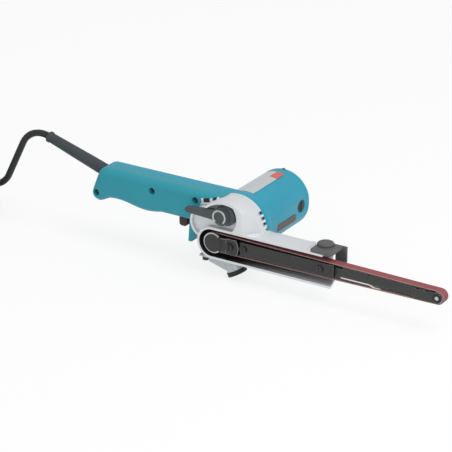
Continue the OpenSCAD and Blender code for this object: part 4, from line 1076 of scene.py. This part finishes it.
# %% [markdown]
# ## Strap round the coil
# A woven strap holds the coil for storage. Cloth could be simulated round it, but a strap that is
# pulled tight has a known outline: the one that a string round the turns' sections takes.

# %% Strap as a band carried round the turns
STRAP_W, STRAP_T, STRAP_GAP, STRAP_SHARP = 10.0, 0.9, 0.15, math.radians(40)
# Height and radius of each turn where the strap crosses it: two stacks, and one turn outside
layers = BASE + LEAD_STEP * np.append(np.tile(np.arange(LAYERS), 2), 0)
radii = COIL_R + LEAD_STEP * np.append(np.repeat([-1.5, -0.5], LAYERS), 0.5)


def strap_line(gap, count=120):
    """In each direction, the turn that lies furthest out, plus the lead's radius and a gap."""
    way = np.linspace(0, FULL_TURN, count, endpoint=False)
    reach = radii[None, :] * np.cos(way)[:, None] + layers[None, :] * np.sin(way)[:, None]
    far = np.argmax(reach, axis=1)
    out = LEAD_R + gap
    return np.stack([radii[far] + out * np.cos(way), layers[far] + out * np.sin(way)], axis=1)


inside, outside = strap_line(STRAP_GAP), strap_line(STRAP_GAP + STRAP_T)
band = np.stack([inside, inside, inside, outside, outside, outside])
sideways_mm = STRAP_W * np.array([-0.5, 0.0, 0.5, 0.5, 0.0, -0.5])
strap_points = np.stack([
    np.repeat(COIL_X + sideways_mm[:, None], band.shape[1], axis=1),
    COIL_Y - band[:, :, 0],
    band[:, :, 1],
], axis=-1)
strap = surface("coil_strap", place(strap_points), strap_cloth, ring_rows=True, ring_columns=True)
weld(strap)
strap.data.set_sharp_from_angle(angle=STRAP_SHARP)
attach(strap, "housing")
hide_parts("coil_tie")
print("strap has", len(strap.data.polygons), "faces")

# %% [markdown]
# ## Lead on its line
# A curve with a round bevel is Blender's own way to make a lead. It keeps its thickness
# round every bend, and it is as long as its line.

# %% Lead as one curve
lead_curve = bpy.data.curves.new("mains_lead", "CURVE")
lead_curve.dimensions = "3D"
lead_curve.bevel_depth = LEAD_R / 1000
lead_curve.bevel_resolution = 4
lead_curve.use_fill_caps = True
spline = lead_curve.splines.new("POLY")
spline.points.add(len(line) - 1)
spline.points.foreach_set("co", np.concatenate([line, np.ones((len(line), 1))], axis=1).ravel())
spline.use_smooth = True
lead_curve.materials.append(lead_rubber)
lead = add("mains_lead", lead_curve)
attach(lead, "housing")
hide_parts("power_cord", "cord_coil")
print("lead laid over", len(line), "points")

# %% [markdown]
# ## Bench
# The tool stands on white paper that runs out of the picture. Bare paper would come out grey,
# and a glowing floor would swallow the shadow. So a share of white light is mixed in, only for
# what the camera and reflections see, and the tool's soft shadow stays.

# %% Bench
BENCH_HALF, PAPER, WHITENED = 6, 0.9, 0.8
WHITE = (1.0, 1.0, 1.0, 1.0)
bench_data = bpy.data.meshes.new("bench")
bench_data.from_pydata([
    (-BENCH_HALF, -BENCH_HALF, 0), (BENCH_HALF, -BENCH_HALF, 0),
    (BENCH_HALF, BENCH_HALF, 0), (-BENCH_HALF, BENCH_HALF, 0),
], [], [(0, 1, 2, 3)])
bench = add("bench", bench_data)
bench_white, bench_shader, bench_at = start_finish("bench_white")
feed(bench_shader, "Base Color", (PAPER, PAPER, PAPER, 1.0))
feed(bench_shader, "Roughness", 0.9)
seen = sum(
    bench_at.node("ShaderNodeLightPath", {}, {}, ray)
    for ray in ("Is Camera Ray", "Is Glossy Ray", "Is Transmission Ray")
)
glow = bench_at.node("ShaderNodeEmission", {}, {"Color": WHITE, "Strength": 1.0})
paper = Tone(bench_at.tree, bench_shader.outputs["BSDF"])
whitened = bench_at.node("ShaderNodeMixShader", {}, {0: seen * WHITENED, 1: paper, 2: glow})
bench_at.tree.links.new(
    whitened.socket, bench_at.tree.nodes["Material Output"].inputs["Surface"]
)
bench_data.materials.append(bench_white)
print("bench laid")

# %% [markdown]
# ## Light
# The photograph has the even light of a studio tent, with a brighter side to the right. An even
# sky gives the tent, one large lamp the bright side, and a weak one lifts the shade in front.

# %% Sky and lamps
SKY, LIT_POINT = 0.7, (0, 0, 0.05)
world = bpy.data.worlds.new("sky")
bpy.context.scene.world = world
world.use_nodes = True
sky = world.node_tree.nodes["Background"]
sky.inputs["Color"].default_value = WHITE
sky.inputs["Strength"].default_value = SKY


def lamp(name, at, size, power):
    """A square soft lamp that faces the tool."""
    data = bpy.data.lights.new(name, "AREA")
    data.size = size
    data.energy = power
    made = add(name, data)
    made.location = at
    made.rotation_euler = (Vector(at) - Vector(LIT_POINT)).to_track_quat("Z", "Y").to_euler()


lamp("key_lamp", (0.9, -0.15, 1.5), size=0.9, power=12.0)
lamp("fill_lamp", (0.8, -1.4, 0.9), size=1.0, power=3.0)
bpy.context.scene.view_settings.view_transform = "Standard"
print("sky and lamps set")
